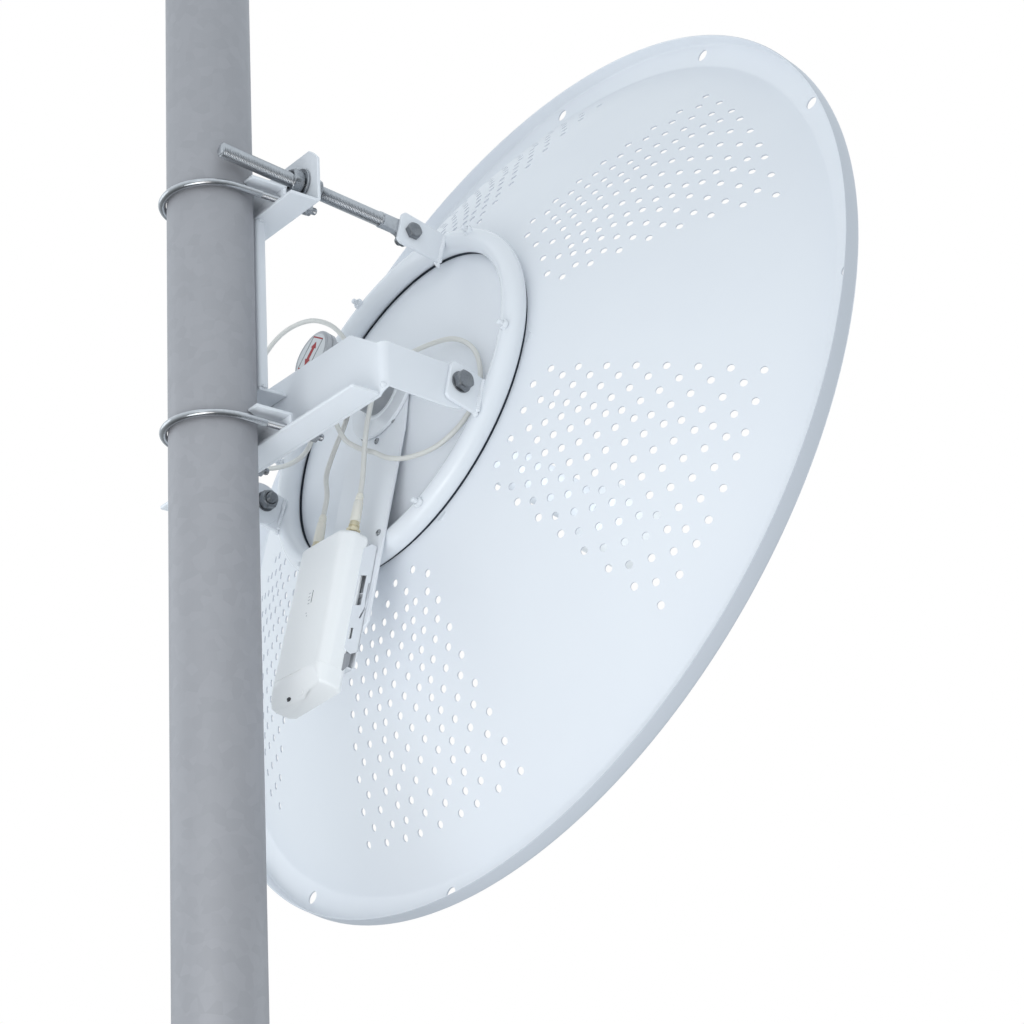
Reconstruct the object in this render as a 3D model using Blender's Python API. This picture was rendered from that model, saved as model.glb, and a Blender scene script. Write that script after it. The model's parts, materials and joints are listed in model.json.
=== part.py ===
"""Pole-mounted dish antenna, seen from behind: reflector, mounting ring, bracket, radio and mast.

World frame in metres. The origin lies on the flat lower end of the mast, +Z is up,
+Y is the way the bracket faces and +X is the side that the photograph is taken from.
The dish has a frame of its own: its origin is on the elevation axis, its local Y is
the boresight and its local Z runs up the dish.
"""
import math

import bmesh
import bpy
from mathutils import Matrix, Vector

# Clearance between pieces that touch on the real product.
SEAT = 0.0003

# Mast
MAST_RADIUS = 0.04445
MAST_WALL = 0.004
MAST_HEIGHT = 1.22
MAST_EDGE = 0.0005                    # broken edge of the cut ends
MAST_RECESS = 0.003                   # how far the closing disc lies inside the upper end

# Elevation axis, from the mast's foot
PIVOT_Y = 0.1760
PIVOT_Z = 0.72
DISH_TILT = math.radians(14)          # boresight below the horizon at rest

# Reflector, in the dish frame
DISH_RADIUS = 0.525
DISH_CENTRE_U = 0.0754                # dish centre above the elevation axis
FOCAL_LENGTH = 0.3573
SHEET = 0.0016
VERTEX_N = 0.0257                     # rear of the sheet at the dish centre
ANNULUS_INNER = 0.495
ANNULUS_STEP = 0.006                  # the sheet turns flat over this much
RIM_FACE_N = 0.1985                   # front face of the rim
RIM_DEPTH = 0.0187                    # the rim band turns backwards by this much
RIM_BEND = 0.004
HUB_HOLE = 0.027
RIM_HOLE_COUNT = 12
RIM_HOLE_CIRCLE = 0.5095
RIM_HOLE_RADIUS = 0.0071
RIM_HOLE_START = math.radians(-1.5)   # the holes sit a little before the hours

# Mounting ring behind the reflector
RING_RADIUS = 0.1942
RING_TUBE = 0.0128

# Bracket plates; heights are from the elevation axis
PLATE = 0.0035
YOKE_HALF = 0.1725                    # outer face of each side arm, at its bolt
YOKE_BEND_HALF = 0.1790               # and at its bend, where the yoke is a little wider
YOKE_FRONT = 0.0827                   # front face of the yoke's web, from the mast's axis
YOKE_BOTTOM = -0.0366
YOKE_TOP = 0.0480
YOKE_TOP_HALF = 0.1270                # the top edge slopes down to the arms from here
YOKE_BEND = 0.009
YOKE_FLANGE_HALF = 0.1735
ARM_BOTTOM = -0.0265
ARM_TOP = 0.0215
ARM_FRONT = 0.0200                    # arm end in front of the elevation axis
ARM_FLAT_REAR = -0.0240               # the arm is parallel from its end back to here
FLANGE_REAR = MAST_RADIUS + 0.0009
UPPER_HALF = 0.0815
UPPER_BOTTOM = 0.2218
UPPER_TOP = 0.2890
UPPER_CHAMFER = 0.0150
SPINE_HALF = 0.0170
SPINE_DEPTH = 0.011
SPINE_WALL = 0.003
SPINE_FOOT = 0.029

# U-bolts and their saddles
U_ROD = 0.004
U_SPACING = MAST_RADIUS + U_ROD + 0.0006
U_HEIGHTS = {"upper": UPPER_BOTTOM + PLATE + U_ROD + 0.0010,
             "lower": YOKE_BOTTOM + PLATE + U_ROD + 0.0005}
U_END = YOKE_FRONT + 0.016
U_NUT_FLATS = 0.013
U_NUT_THICK = 0.0082
SADDLE_HALF = 0.0575
SADDLE_RISE = 0.014                   # saddle plate above its U-bolt
SADDLE_TIP_Y = 0.0142                 # where the mouth's horns end in front of the mast's axis
SADDLE_REACH = 0.0115                 # its apron in front of the flange's rear edge

# Bolts at the elevation axis
LUG_GAP = 0.0004
SIDE_LUG = 0.005
PIVOT_BOLT = 0.006
PIVOT_BORE = 0.0063
PIVOT_WASHER = 0.0115
PIVOT_FLATS = 0.019

# Elevation rod; its line drifts towards the mast's near side as it runs back
ROD_RADIUS = 0.008
ROD_SKEW = math.radians(3)
ROD_PIN = Vector((0.0453, 0.0450, 0.2418))         # from the elevation axis
ROD_LIFT = 0.0045                                  # rod's centre line above its pin
ROD_HOLE_Z = 0.2545                                # where it crosses the upper plate
ROD_REAR = 0.106                                   # thread left behind the plate
ROD_NUT_GAP = 0.0010                               # washers clear the plate as the rod moves
ROD_HOLE_RADIUS = 0.0118                           # loose enough for the rod's whole travel
ROD_HOLE_SHIFT = (-0.0010, -0.0004)                # hole centre from the rod at rest, x and z
ROD_NECK = 0.0375                                  # flat bar ends and thread begins, from the pin
ROD_NUT_BORE = ROD_RADIUS + 0.0014
ROD_NUT_FLATS = 0.024
ROD_WASHER = 0.0025
ROD_NUT_THICK = 0.013
EYE_THICK = 0.008
PIN_BOLT = 0.005
PIN_BORE = 0.0053
PIN_FLATS = 0.0165
PIN_SHANK = 0.0275
TOP_LUG = 0.0045

# Feed and radio, in the dish frame about the dish centre
FEED_END_N = -0.0745
FEED_RADIUS = 0.0255
FEED_CAP_RADIUS = 0.029
FEED_CAP_LENGTH = 0.0132
RADIO_REAR_N = -0.0184
RADIO_HALF = 0.0430
RADIO_TOP = -0.1960
RADIO_CHIN = -0.3600                  # the rear face ends here and slopes to the end
RADIO_BOTTOM = -0.3790
RADIO_DEPTH = 0.034
CONNECTOR_X = 0.0325
CONNECTOR_N = -0.0029
CLIP_HALF = 0.0440
CLIP_TOP = -0.205
CLIP_BOTTOM = -0.345


def clear_scene():
    """Remove whatever the start-up file holds."""
    for thing in list(bpy.data.objects):
        bpy.data.objects.remove(thing, do_unlink=True)


def material(name, colour, rough, metal=0.0):
    """A plain Principled material, shared by name."""
    found = bpy.data.materials.get(name)
    if found:
        return found
    made = bpy.data.materials.new(name)
    made.use_nodes = True
    shader = made.node_tree.nodes["Principled BSDF"]
    shader.inputs["Base Color"].default_value = (*colour, 1.0)
    shader.inputs["Roughness"].default_value = rough
    shader.inputs["Metallic"].default_value = metal
    return made


def white_paint():
    return material("white_powder_coat", (0.80, 0.83, 0.87), 0.35)


def zinc():
    return material("zinc_plated_steel", (0.45, 0.46, 0.47), 0.35, 0.9)


def dark_steel():
    return material("dark_bolt_steel", (0.16, 0.17, 0.18), 0.45, 0.8)


def cast_metal():
    return material("cast_aluminium", (0.42, 0.43, 0.44), 0.45, 0.7)


def white_plastic():
    return material("white_plastic", (0.86, 0.88, 0.89), 0.4)


def brass():
    return material("connector_brass", (0.62, 0.50, 0.30), 0.35, 0.9)


def mast_steel():
    return material("mast_grey_steel", (0.42, 0.42, 0.44), 0.4, 0.6)


def empty(name, parent=None, at=(0, 0, 0), turn=(0, 0, 0)):
    """A frame that carries one body, on its joint's axis."""
    made = bpy.data.objects.new(name, None)
    bpy.context.scene.collection.objects.link(made)
    made.location = at
    made.rotation_euler = turn
    made.parent = parent
    return made


def place(name, mesh_or_curve, look, parent, at=(0, 0, 0), turn=(0, 0, 0)):
    """One named object, parented to its body's frame."""
    made = bpy.data.objects.new(name, mesh_or_curve)
    bpy.context.scene.collection.objects.link(made)
    mesh_or_curve.materials.append(look)
    made.parent = parent
    made.location = at
    made.rotation_euler = turn
    return made


def mesh_from(bm, name):
    """Weld, face outwards and hand over the mesh."""
    bmesh.ops.remove_doubles(bm, verts=bm.verts, dist=1e-6)
    bmesh.ops.recalc_face_normals(bm, faces=bm.faces)
    mesh = bpy.data.meshes.new(name)
    bm.to_mesh(mesh)
    bm.free()
    return mesh


def loft(name, rings, closed=False):
    """Skin a row of rings that have equal point counts; closed joins the last to the first."""
    bm = bmesh.new()
    rows = [[bm.verts.new(point) for point in ring] for ring in rings]
    count = len(rows[0])
    pairs = list(zip(rows, rows[1:])) + ([(rows[-1], rows[0])] if closed else [])
    for low, high in pairs:
        for i in range(count):
            j = (i + 1) % count
            bm.faces.new((low[i], low[j], high[j], high[i]))
    if not closed:
        bm.faces.new(list(reversed(rows[0])))
        bm.faces.new(rows[-1])
    return mesh_from(bm, name)


def circle(radius, height, count=32):
    """Points of a circle about local Z."""
    return [(radius * math.cos(2 * math.pi * i / count),
             radius * math.sin(2 * math.pi * i / count), height) for i in range(count)]


def hexagon(across_flats, height, count=24):
    """A hexagon about local Z, with the same point count as a circle."""
    points = []
    for i in range(count):
        angle = 2 * math.pi * i / count
        local = (angle % (math.pi / 3)) - math.pi / 6
        radius = across_flats / 2 / math.cos(local)
        points.append((radius * math.cos(angle), radius * math.sin(angle), height))
    return points


def lathe(name, profile, count=64):
    """Turn a closed (radius, height) profile about local Z."""
    rings = []
    for i in range(count):
        angle = 2 * math.pi * i / count
        rings.append([(r * math.cos(angle), r * math.sin(angle), h) for r, h in profile])
    return loft(name, rings, closed=True)


def turned(name, profile, count=32):
    """A solid turned part: (radius, height) steps from one end to the other."""
    return loft(name, [circle(r, h, count) for r, h in profile])


def box(name, low, high):
    """An axis-aligned box between two corners."""
    bottom = [(low[0], low[1]), (high[0], low[1]), (high[0], high[1]), (low[0], high[1])]
    return loft(name, [[(x, y, z) for x, y in bottom] for z in (low[2], high[2])])


def extrude_outline(name, outline, low, high, axis="Z"):
    """A flat plate of any outline, thick along the given axis."""
    def at(a, b, c):
        return {"X": (c, a, b), "Y": (a, c, b), "Z": (a, b, c)}[axis]
    return loft(name, [[at(a, b, c) for a, b in outline] for c in (low, high)])


def tube_curve(name, points, radius, sides=3):
    """A round bar or cable along a list of points, with filled ends."""
    curve = bpy.data.curves.new(name, "CURVE")
    curve.dimensions = "3D"
    curve.bevel_depth = radius
    curve.bevel_resolution = sides
    curve.use_fill_caps = True
    curve.render_resolution_u = 0
    spline = curve.splines.new("POLY")
    spline.points.add(len(points) - 1)
    for slot, point in zip(spline.points, points):
        slot.co = (*point, 1.0)
    return curve


def smooth_path(points, steps=5):
    """A Catmull-Rom path through hand-chosen points."""
    knots = [Vector(p) for p in points]
    knots = [2 * knots[0] - knots[1]] + knots + [2 * knots[-1] - knots[-2]]
    path = []
    for a, b, c, d in zip(knots, knots[1:], knots[2:], knots[3:]):
        for i in range(steps):
            t = i / steps
            path.append(0.5 * ((2 * b) + (c - a) * t + (2 * a - 5 * b + 4 * c - d) * t * t
                               + (3 * b - a - 3 * c + d) * t ** 3))
    path.append(knots[-2])
    return path


def cut(target, cutters):
    """Subtract hidden cutters from a node."""
    for cutter in cutters:
        cutter.hide_render = True
        cutter.display_type = "WIRE"
        cutter.parent = target.parent
        step = target.modifiers.new(cutter.name, "BOOLEAN")
        step.operation = "DIFFERENCE"
        step.solver = "EXACT"
        step.object = cutter
    bpy.context.view_layer.update()
    graph = bpy.context.evaluated_depsgraph_get()
    finished = bpy.data.meshes.new_from_object(target.evaluated_get(graph))
    target.modifiers.clear()
    old = target.data
    target.data = finished
    bpy.data.meshes.remove(old)
    for cutter in cutters:
        bpy.data.objects.remove(cutter, do_unlink=True)


def drill(name, radius, along, centre, half=0.02, count=24):
    """A cylinder to cut with, along a local axis."""
    turn = {"X": (0, math.pi / 2, 0), "Y": (math.pi / 2, 0, 0), "Z": (0, 0, 0)}[along]
    mesh = loft(name, [circle(radius, -half, count), circle(radius, half, count)])
    made = bpy.data.objects.new(name, mesh)
    bpy.context.scene.collection.objects.link(made)
    made.location = centre
    made.rotation_euler = turn
    return made


def build_mast():
    """The steel mast that the bracket clamps, closed at its foot and just inside its top."""
    edge = MAST_RADIUS - MAST_EDGE
    inner = MAST_RADIUS - MAST_WALL
    profile = [(edge, 0), (MAST_RADIUS, MAST_EDGE), (MAST_RADIUS, MAST_HEIGHT - MAST_EDGE),
               (edge, MAST_HEIGHT), (inner, MAST_HEIGHT), (inner, MAST_HEIGHT - MAST_RECESS)]
    place("mast", turned("mast", profile, 64), mast_steel(), None)


def yoke_stations():
    """Cross-sections of the bent yoke plate, from the near arm's end round to the middle."""
    mid = (ARM_TOP + ARM_BOTTOM) / 2
    reach = (ARM_TOP - ARM_BOTTOM) / 2
    inner = YOKE_HALF - PLATE
    stations = []
    for i in range(9):
        angle = math.radians(8 + 82 * i / 8)
        y = ARM_FRONT - reach + reach * math.cos(angle)
        rise = reach * math.sin(angle)
        stations.append((YOKE_HALF, y, inner, y, mid - rise, mid + rise))
    stations.append((YOKE_HALF, ARM_FLAT_REAR, inner, ARM_FLAT_REAR, ARM_BOTTOM, ARM_TOP))
    outer_y = YOKE_FRONT - PIVOT_Y - PLATE
    bend_x, bend_y = YOKE_BEND_HALF - YOKE_BEND, outer_y + YOKE_BEND
    for i in range(7):
        angle = math.pi / 2 * i / 6
        bottom = ARM_BOTTOM + (YOKE_BOTTOM - ARM_BOTTOM) * i / 6
        c, s = math.cos(angle), math.sin(angle)
        stations.append((bend_x + YOKE_BEND * c, bend_y - YOKE_BEND * s,
                         bend_x + (YOKE_BEND - PLATE) * c, bend_y - (YOKE_BEND - PLATE) * s,
                         bottom, ARM_TOP))
    stations.append((YOKE_TOP_HALF, outer_y, YOKE_TOP_HALF, outer_y + PLATE,
                     YOKE_BOTTOM, YOKE_TOP))
    return stations


def build_yoke(mount):
    """Lower bracket: the bent yoke plate and the flange welded behind its lower edge."""
    near = [[(xo, yo, low), (xo, yo, high), (xi, yi, high), (xi, yi, low)]
            for xo, yo, xi, yi, low, high in yoke_stations()]
    far = [[(-x, y, z) for x, y, z in ring] for ring in reversed(near)]
    yoke = place("yoke_plate", loft("yoke_plate", near + far), white_paint(), mount)
    leg_z = U_HEIGHTS["lower"]
    web_y = YOKE_FRONT - PIVOT_Y - PLATE / 2
    pivots = [drill("pivot_bore_%d" % i, PIVOT_BORE, "X", (side * YOKE_HALF, 0, 0))
              for i, side in enumerate((-1, 1))]
    legs = [drill("leg_bore_%d" % i, U_ROD + 0.0005, "Y", (side * U_SPACING, web_y, leg_z))
            for i, side in enumerate((-1, 1))]
    cut(yoke, pivots + legs)
    rear = FLANGE_REAR - PIVOT_Y
    front = YOKE_FRONT - PIVOT_Y - PLATE - SEAT
    place("yoke_flange", box("yoke_flange", (-YOKE_FLANGE_HALF, rear, YOKE_BOTTOM),
                             (YOKE_FLANGE_HALF, front, YOKE_BOTTOM + PLATE)),
          white_paint(), mount)


def build_upper_bracket(mount):
    """Upper bracket: an angle whose plate carries the elevation rod."""
    front = YOKE_FRONT - PIVOT_Y
    rear = FLANGE_REAR - PIVOT_Y
    stations = []
    for x, top in ((-UPPER_HALF, UPPER_TOP - UPPER_CHAMFER),
                   (UPPER_CHAMFER - UPPER_HALF, UPPER_TOP),
                   (UPPER_HALF - UPPER_CHAMFER, UPPER_TOP),
                   (UPPER_HALF, UPPER_TOP - UPPER_CHAMFER)):
        stations.append([(x, front, UPPER_BOTTOM), (x, front, top), (x, front - PLATE, top),
                         (x, front - PLATE, UPPER_BOTTOM + PLATE), (x, rear, UPPER_BOTTOM + PLATE),
                         (x, rear, UPPER_BOTTOM)])
    bracket = place("upper_bracket", loft("upper_bracket", stations), white_paint(), mount)
    web_y = front - PLATE / 2
    leg_z = U_HEIGHTS["upper"]
    drills = [drill("upper_leg_%d" % i, U_ROD + 0.0005, "Y", (side * U_SPACING, web_y, leg_z),
                    half=0.006) for i, side in enumerate((-1, 1))]
    crossing = rod_crossing()
    hole = (crossing.x + ROD_HOLE_SHIFT[0], web_y, crossing.z + ROD_HOLE_SHIFT[1])
    cut(bracket, drills + [drill("rod_hole", ROD_HOLE_RADIUS, "Y", hole, half=0.006, count=32)])


def build_spine(mount):
    """The channel that joins both brackets, and the small foot that ties it to the yoke."""
    rear = FLANGE_REAR - PIVOT_Y
    front = rear + SPINE_DEPTH
    outline = [(-SPINE_HALF, front), (-SPINE_HALF, rear), (SPINE_HALF, rear), (SPINE_HALF, front),
               (SPINE_HALF - SPINE_WALL, front), (SPINE_HALF - SPINE_WALL, rear + SPINE_WALL),
               (SPINE_WALL - SPINE_HALF, rear + SPINE_WALL), (SPINE_WALL - SPINE_HALF, front)]
    place("spine_channel", extrude_outline("spine_channel", outline, SPINE_FOOT,
                                           UPPER_BOTTOM - SEAT), white_paint(), mount)
    place("spine_foot", box("spine_foot", (-SPINE_HALF, rear, SPINE_FOOT - PLATE - SEAT),
                            (SPINE_HALF, YOKE_FRONT - PIVOT_Y - PLATE - SEAT,
                             SPINE_FOOT - SEAT)), white_paint(), mount)


def build_saddle(mount, label, leg_z, seat_z):
    """A pressed saddle: a plate with a half-round mouth for the mast, bent down at the front."""
    mouth = MAST_RADIUS + SEAT
    start = math.asin(SADDLE_TIP_Y / mouth)
    top = leg_z + SADDLE_RISE
    front_y = FLANGE_REAR + SADDLE_REACH
    sweep = [start + (math.pi - 2 * start) * i / 16 for i in range(17)]
    arc = [(mouth * math.cos(a), mouth * math.sin(a)) for a in sweep]
    outline = ([(SADDLE_HALF, front_y), (-SADDLE_HALF, front_y), (-SADDLE_HALF, SADDLE_TIP_Y)]
               + list(reversed(arc)) + [(SADDLE_HALF, SADDLE_TIP_Y)])
    shifted = [(x, y - PIVOT_Y) for x, y in outline]
    saddle = place(label + "_saddle",
                   extrude_outline(label + "_saddle", shifted, top - PLATE, top),
                   white_paint(), mount)
    apron = box("apron", (-SADDLE_HALF, front_y - PIVOT_Y - PLATE, seat_z + SEAT),
                (SADDLE_HALF, front_y - PIVOT_Y, top - PLATE / 2))
    helper = bpy.data.objects.new("apron_" + label, apron)
    bpy.context.scene.collection.objects.link(helper)
    helper.parent = mount
    step = saddle.modifiers.new("apron", "BOOLEAN")
    step.operation = "UNION"
    step.solver = "EXACT"
    step.object = helper
    helper.hide_render = True
    cut(saddle, [drill("saddle_leg_%s_%d" % (label, i), U_ROD + 0.0005, "Y",
                       (side * U_SPACING, front_y - PIVOT_Y - PLATE / 2, leg_z), half=0.004)
                 for i, side in enumerate((-1, 1))])
    bpy.data.objects.remove(helper, do_unlink=True)


def build_u_bolt(mount, label, leg_z):
    """One U-bolt round the mast, and the nut on each of its legs."""
    turns = [math.pi + math.pi * i / 24 for i in range(25)]
    bend = [(U_SPACING * math.cos(a), U_SPACING * math.sin(a) - PIVOT_Y, leg_z) for a in turns]
    ends = U_END - PIVOT_Y
    path = [(-U_SPACING, ends, leg_z)] + bend + [(U_SPACING, ends, leg_z)]
    place(label + "_u_bolt", tube_curve(label + "_u_bolt", path, U_ROD, 2), zinc(), mount)
    face = YOKE_FRONT - PIVOT_Y + SEAT
    bore = U_ROD + SEAT
    for side, name in ((1, "near"), (-1, "far")):
        rings = [hexagon(U_NUT_FLATS, 0), hexagon(U_NUT_FLATS, U_NUT_THICK),
                 circle(bore, U_NUT_THICK, 24), circle(bore, 0, 24)]
        place("%s_u_nut_%s" % (label, name), loft("u_nut", rings, closed=True), zinc(), mount,
              (side * U_SPACING, face, leg_z), (-math.pi / 2, 0, 0))


def build_pivot_bolt(mount, side, name):
    """The elevation bolt of one side: head outside the lug, nut inside the arm."""
    turn = (0, side * math.pi / 2, 0)
    head = YOKE_HALF + LUG_GAP + SIDE_LUG + SEAT
    tip = YOKE_HALF - PLATE - 0.018
    rings = [circle(PIVOT_BOLT - 0.0005, tip, 24), circle(PIVOT_BOLT, tip + 0.0008, 24),
             circle(PIVOT_BOLT, head, 24), circle(PIVOT_WASHER, head, 24),
             circle(PIVOT_WASHER, head + 0.0016, 24), hexagon(PIVOT_FLATS, head + 0.0016),
             hexagon(PIVOT_FLATS, head + 0.0085), hexagon(PIVOT_FLATS - 0.0018, head + 0.0095)]
    place(name + "_pivot_bolt", loft("pivot_bolt", rings), dark_steel(), mount, (0, 0, 0), turn)
    nut_face = YOKE_HALF - PLATE - SEAT
    nut_end = nut_face - 0.0116
    bore = PIVOT_BOLT + SEAT
    rings = [circle(PIVOT_WASHER, nut_face, 24), circle(PIVOT_WASHER, nut_face - 0.0016, 24),
             hexagon(PIVOT_FLATS, nut_face - 0.0016), hexagon(PIVOT_FLATS, nut_end),
             circle(bore, nut_end, 24), circle(bore, nut_face, 24)]
    place(name + "_pivot_nut", loft("pivot_nut", rings, closed=True), dark_steel(), mount,
          (0, 0, 0), turn)


def sheet_rear(radius):
    """Rear of the reflector sheet at a radius, along the boresight."""
    return VERTEX_N + radius * radius / (4 * FOCAL_LENGTH)


def build_reflector(dish):
    """Reflector: paraboloid, flat rim face with holes, and the rim band turned backwards."""
    rows = 14
    radii = [HUB_HOLE + (ANNULUS_INNER - HUB_HOLE) * i / rows for i in range(rows + 1)]
    rear = [(r, sheet_rear(r)) for r in radii]
    front = [(r, sheet_rear(r) + SHEET) for r in radii]
    face_rear = RIM_FACE_N - SHEET
    inner_bend = RIM_BEND - SHEET
    bend_r, bend_n = DISH_RADIUS - RIM_BEND, RIM_FACE_N - RIM_BEND
    quarter = [math.pi / 2 * i / 4 for i in range(5)]
    bend_out = [(bend_r + RIM_BEND * math.sin(a), bend_n + RIM_BEND * math.cos(a))
                for a in quarter]
    bend_in = [(bend_r + inner_bend * math.sin(a), bend_n + inner_bend * math.cos(a))
               for a in quarter]
    edge = RIM_FACE_N - RIM_DEPTH
    flat = ANNULUS_INNER + ANNULUS_STEP
    profile = (rear + [(flat, face_rear)] + bend_in
               + [(DISH_RADIUS - SHEET, edge), (DISH_RADIUS, edge)] + list(reversed(bend_out))
               + [(flat, RIM_FACE_N)] + list(reversed(front)))
    reflector = place("reflector", lathe("reflector", profile, 96), white_paint(), dish,
                      (0, 0, DISH_CENTRE_U), (-math.pi / 2, 0, 0))
    holes = []
    for i in range(RIM_HOLE_COUNT):
        angle = RIM_HOLE_START + 2 * math.pi * i / RIM_HOLE_COUNT
        at = (RIM_HOLE_CIRCLE * math.sin(angle), RIM_FACE_N,
              DISH_CENTRE_U + RIM_HOLE_CIRCLE * math.cos(angle))
        holes.append(drill("rim_hole_%02d" % i, RIM_HOLE_RADIUS, "Y", at, 0.006, 16))
    cut(reflector, holes)


def ring_centre_n():
    """Where the ring tube lies so that it just touches the back of the reflector."""
    gap = RING_TUBE + SEAT
    contact = RING_RADIUS
    for _ in range(8):
        slope = math.atan(contact / (2 * FOCAL_LENGTH))
        contact = RING_RADIUS - gap * math.sin(slope)
    return sheet_rear(contact) - gap * math.cos(slope)


def build_ring(dish):
    """The tubular mounting ring."""
    centre = ring_centre_n()
    profile = [(RING_RADIUS + RING_TUBE * math.cos(2 * math.pi * i / 12),
                RING_TUBE * math.sin(2 * math.pi * i / 12)) for i in range(12)]
    place("mounting_ring", lathe("mounting_ring", profile, 72), white_paint(), dish,
          (0, centre, DISH_CENTRE_U), (-math.pi / 2, 0, 0))
    return centre


def build_side_lug(dish, side, name, ring_n):
    """A lug plate from the ring out to the elevation bolt of one side."""
    inner = YOKE_HALF + LUG_GAP
    front = ring_n - RING_TUBE - SEAT
    outline = [(-0.0140, 0.0175), (-0.0140, -0.0190), (-0.0100, -0.0230), (front, -0.0240),
               (front, 0.0185), (-0.0110, 0.0210)]
    low, high = sorted((side * inner, side * (inner + SIDE_LUG)))
    lug = place(name + "_lug", extrude_outline(name + "_lug", outline, low, high, "X"),
                white_paint(), dish)
    cut(lug, [drill("lug_bore_" + name, PIVOT_BORE, "X", (side * inner, 0, 0))])


def build_top_lug(dish, ring_n):
    """The lug on top of the ring that holds the elevation rod's pin."""
    pin = to_dish(ROD_PIN)
    inner = ROD_PIN.x + EYE_THICK / 2 + SEAT
    front = ring_n - RING_TUBE - SEAT - pin.y
    outline = [(-0.0165, 0.0155), (-0.0125, 0.0195), (front, 0.0205), (front, -0.0165),
               (-0.0120, -0.0200), (-0.0160, -0.0160)]
    shifted = [(pin.y + a, pin.z + b) for a, b in outline]
    lug = place("top_lug", extrude_outline("top_lug", shifted, inner, inner + TOP_LUG, "X"),
                white_paint(), dish)
    cut(lug, [drill("top_lug_bore", PIN_BORE, "X", (inner, pin.y, pin.z))])
    turn = (0, math.pi / 2, 0)
    rings = [circle(PIN_BOLT, 0, 24), circle(PIN_BOLT, PIN_SHANK, 24),
             hexagon(PIN_FLATS, PIN_SHANK), hexagon(PIN_FLATS, PIN_SHANK + 0.0065)]
    start = inner + TOP_LUG + SEAT - PIN_SHANK
    place("top_pin_bolt", loft("top_pin_bolt", rings), dark_steel(), dish,
          (start, pin.y, pin.z), turn)
    thick = 0.0075
    rings = [hexagon(PIN_FLATS, 0), hexagon(PIN_FLATS, thick), circle(PIN_BORE, thick, 24),
             circle(PIN_BORE, 0, 24)]
    place("top_pin_nut", loft("top_pin_nut", rings, closed=True), dark_steel(), dish,
          (ROD_PIN.x - EYE_THICK / 2 - SEAT - thick, pin.y, pin.z), turn)


def to_dish(point):
    """A point given from the elevation axis, in the dish frame at rest."""
    return Matrix.Rotation(DISH_TILT, 3, "X") @ Vector(point)


def build_feed(dish):
    """Feed: flange, body and end cap behind the dish; tube, disc and cover in front."""
    axis = (-math.pi / 2, 0, 0)
    centre = (0, 0, DISH_CENTRE_U)
    flange_front = VERTEX_N - 0.0033 - SEAT
    flange_rear = flange_front - 0.004
    cap_front = FEED_END_N + FEED_CAP_LENGTH
    tube_end = VERTEX_N + 0.274
    cover_start = tube_end + SEAT
    place("feed_flange", turned("feed_flange", [(0.052, flange_rear), (0.052, flange_front)], 48),
          white_paint(), dish, centre, axis)
    place("feed_body", turned("feed_body", [(FEED_RADIUS, cap_front + SEAT),
                                            (FEED_RADIUS, flange_rear - SEAT)], 40),
          cast_metal(), dish, centre, axis)
    place("feed_cap", turned("feed_cap", [(FEED_CAP_RADIUS - 0.0015, FEED_END_N),
                                          (FEED_CAP_RADIUS, FEED_END_N + 0.0015),
                                          (FEED_CAP_RADIUS, cap_front)], 40),
          cast_metal(), dish, centre, axis)
    place("feed_tube", turned("feed_tube", [(0.024, VERTEX_N - 0.0001), (0.024, tube_end)], 32),
          white_paint(), dish, centre, axis)
    place("feed_cover", turned("feed_cover", [(0.026, cover_start), (0.041, cover_start + 0.007),
                                              (0.043, cover_start + 0.015),
                                              (0.043, cover_start + 0.077),
                                              (0.039, cover_start + 0.083)], 40),
          white_plastic(), dish, centre, axis)


def radio_section(flat, height):
    """The radio's cross-section; its rear flat is narrower than the body, with sloped sides."""
    front = RADIO_REAR_N + RADIO_DEPTH
    mid = RADIO_REAR_N + 0.012
    edge = 0.006
    return [(x, n, height) for x, n in
            ((-flat, RADIO_REAR_N), (flat, RADIO_REAR_N), (RADIO_HALF, mid),
             (RADIO_HALF, front - edge), (RADIO_HALF - edge, front), (edge - RADIO_HALF, front),
             (-RADIO_HALF, front - edge), (-RADIO_HALF, mid))]


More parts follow.
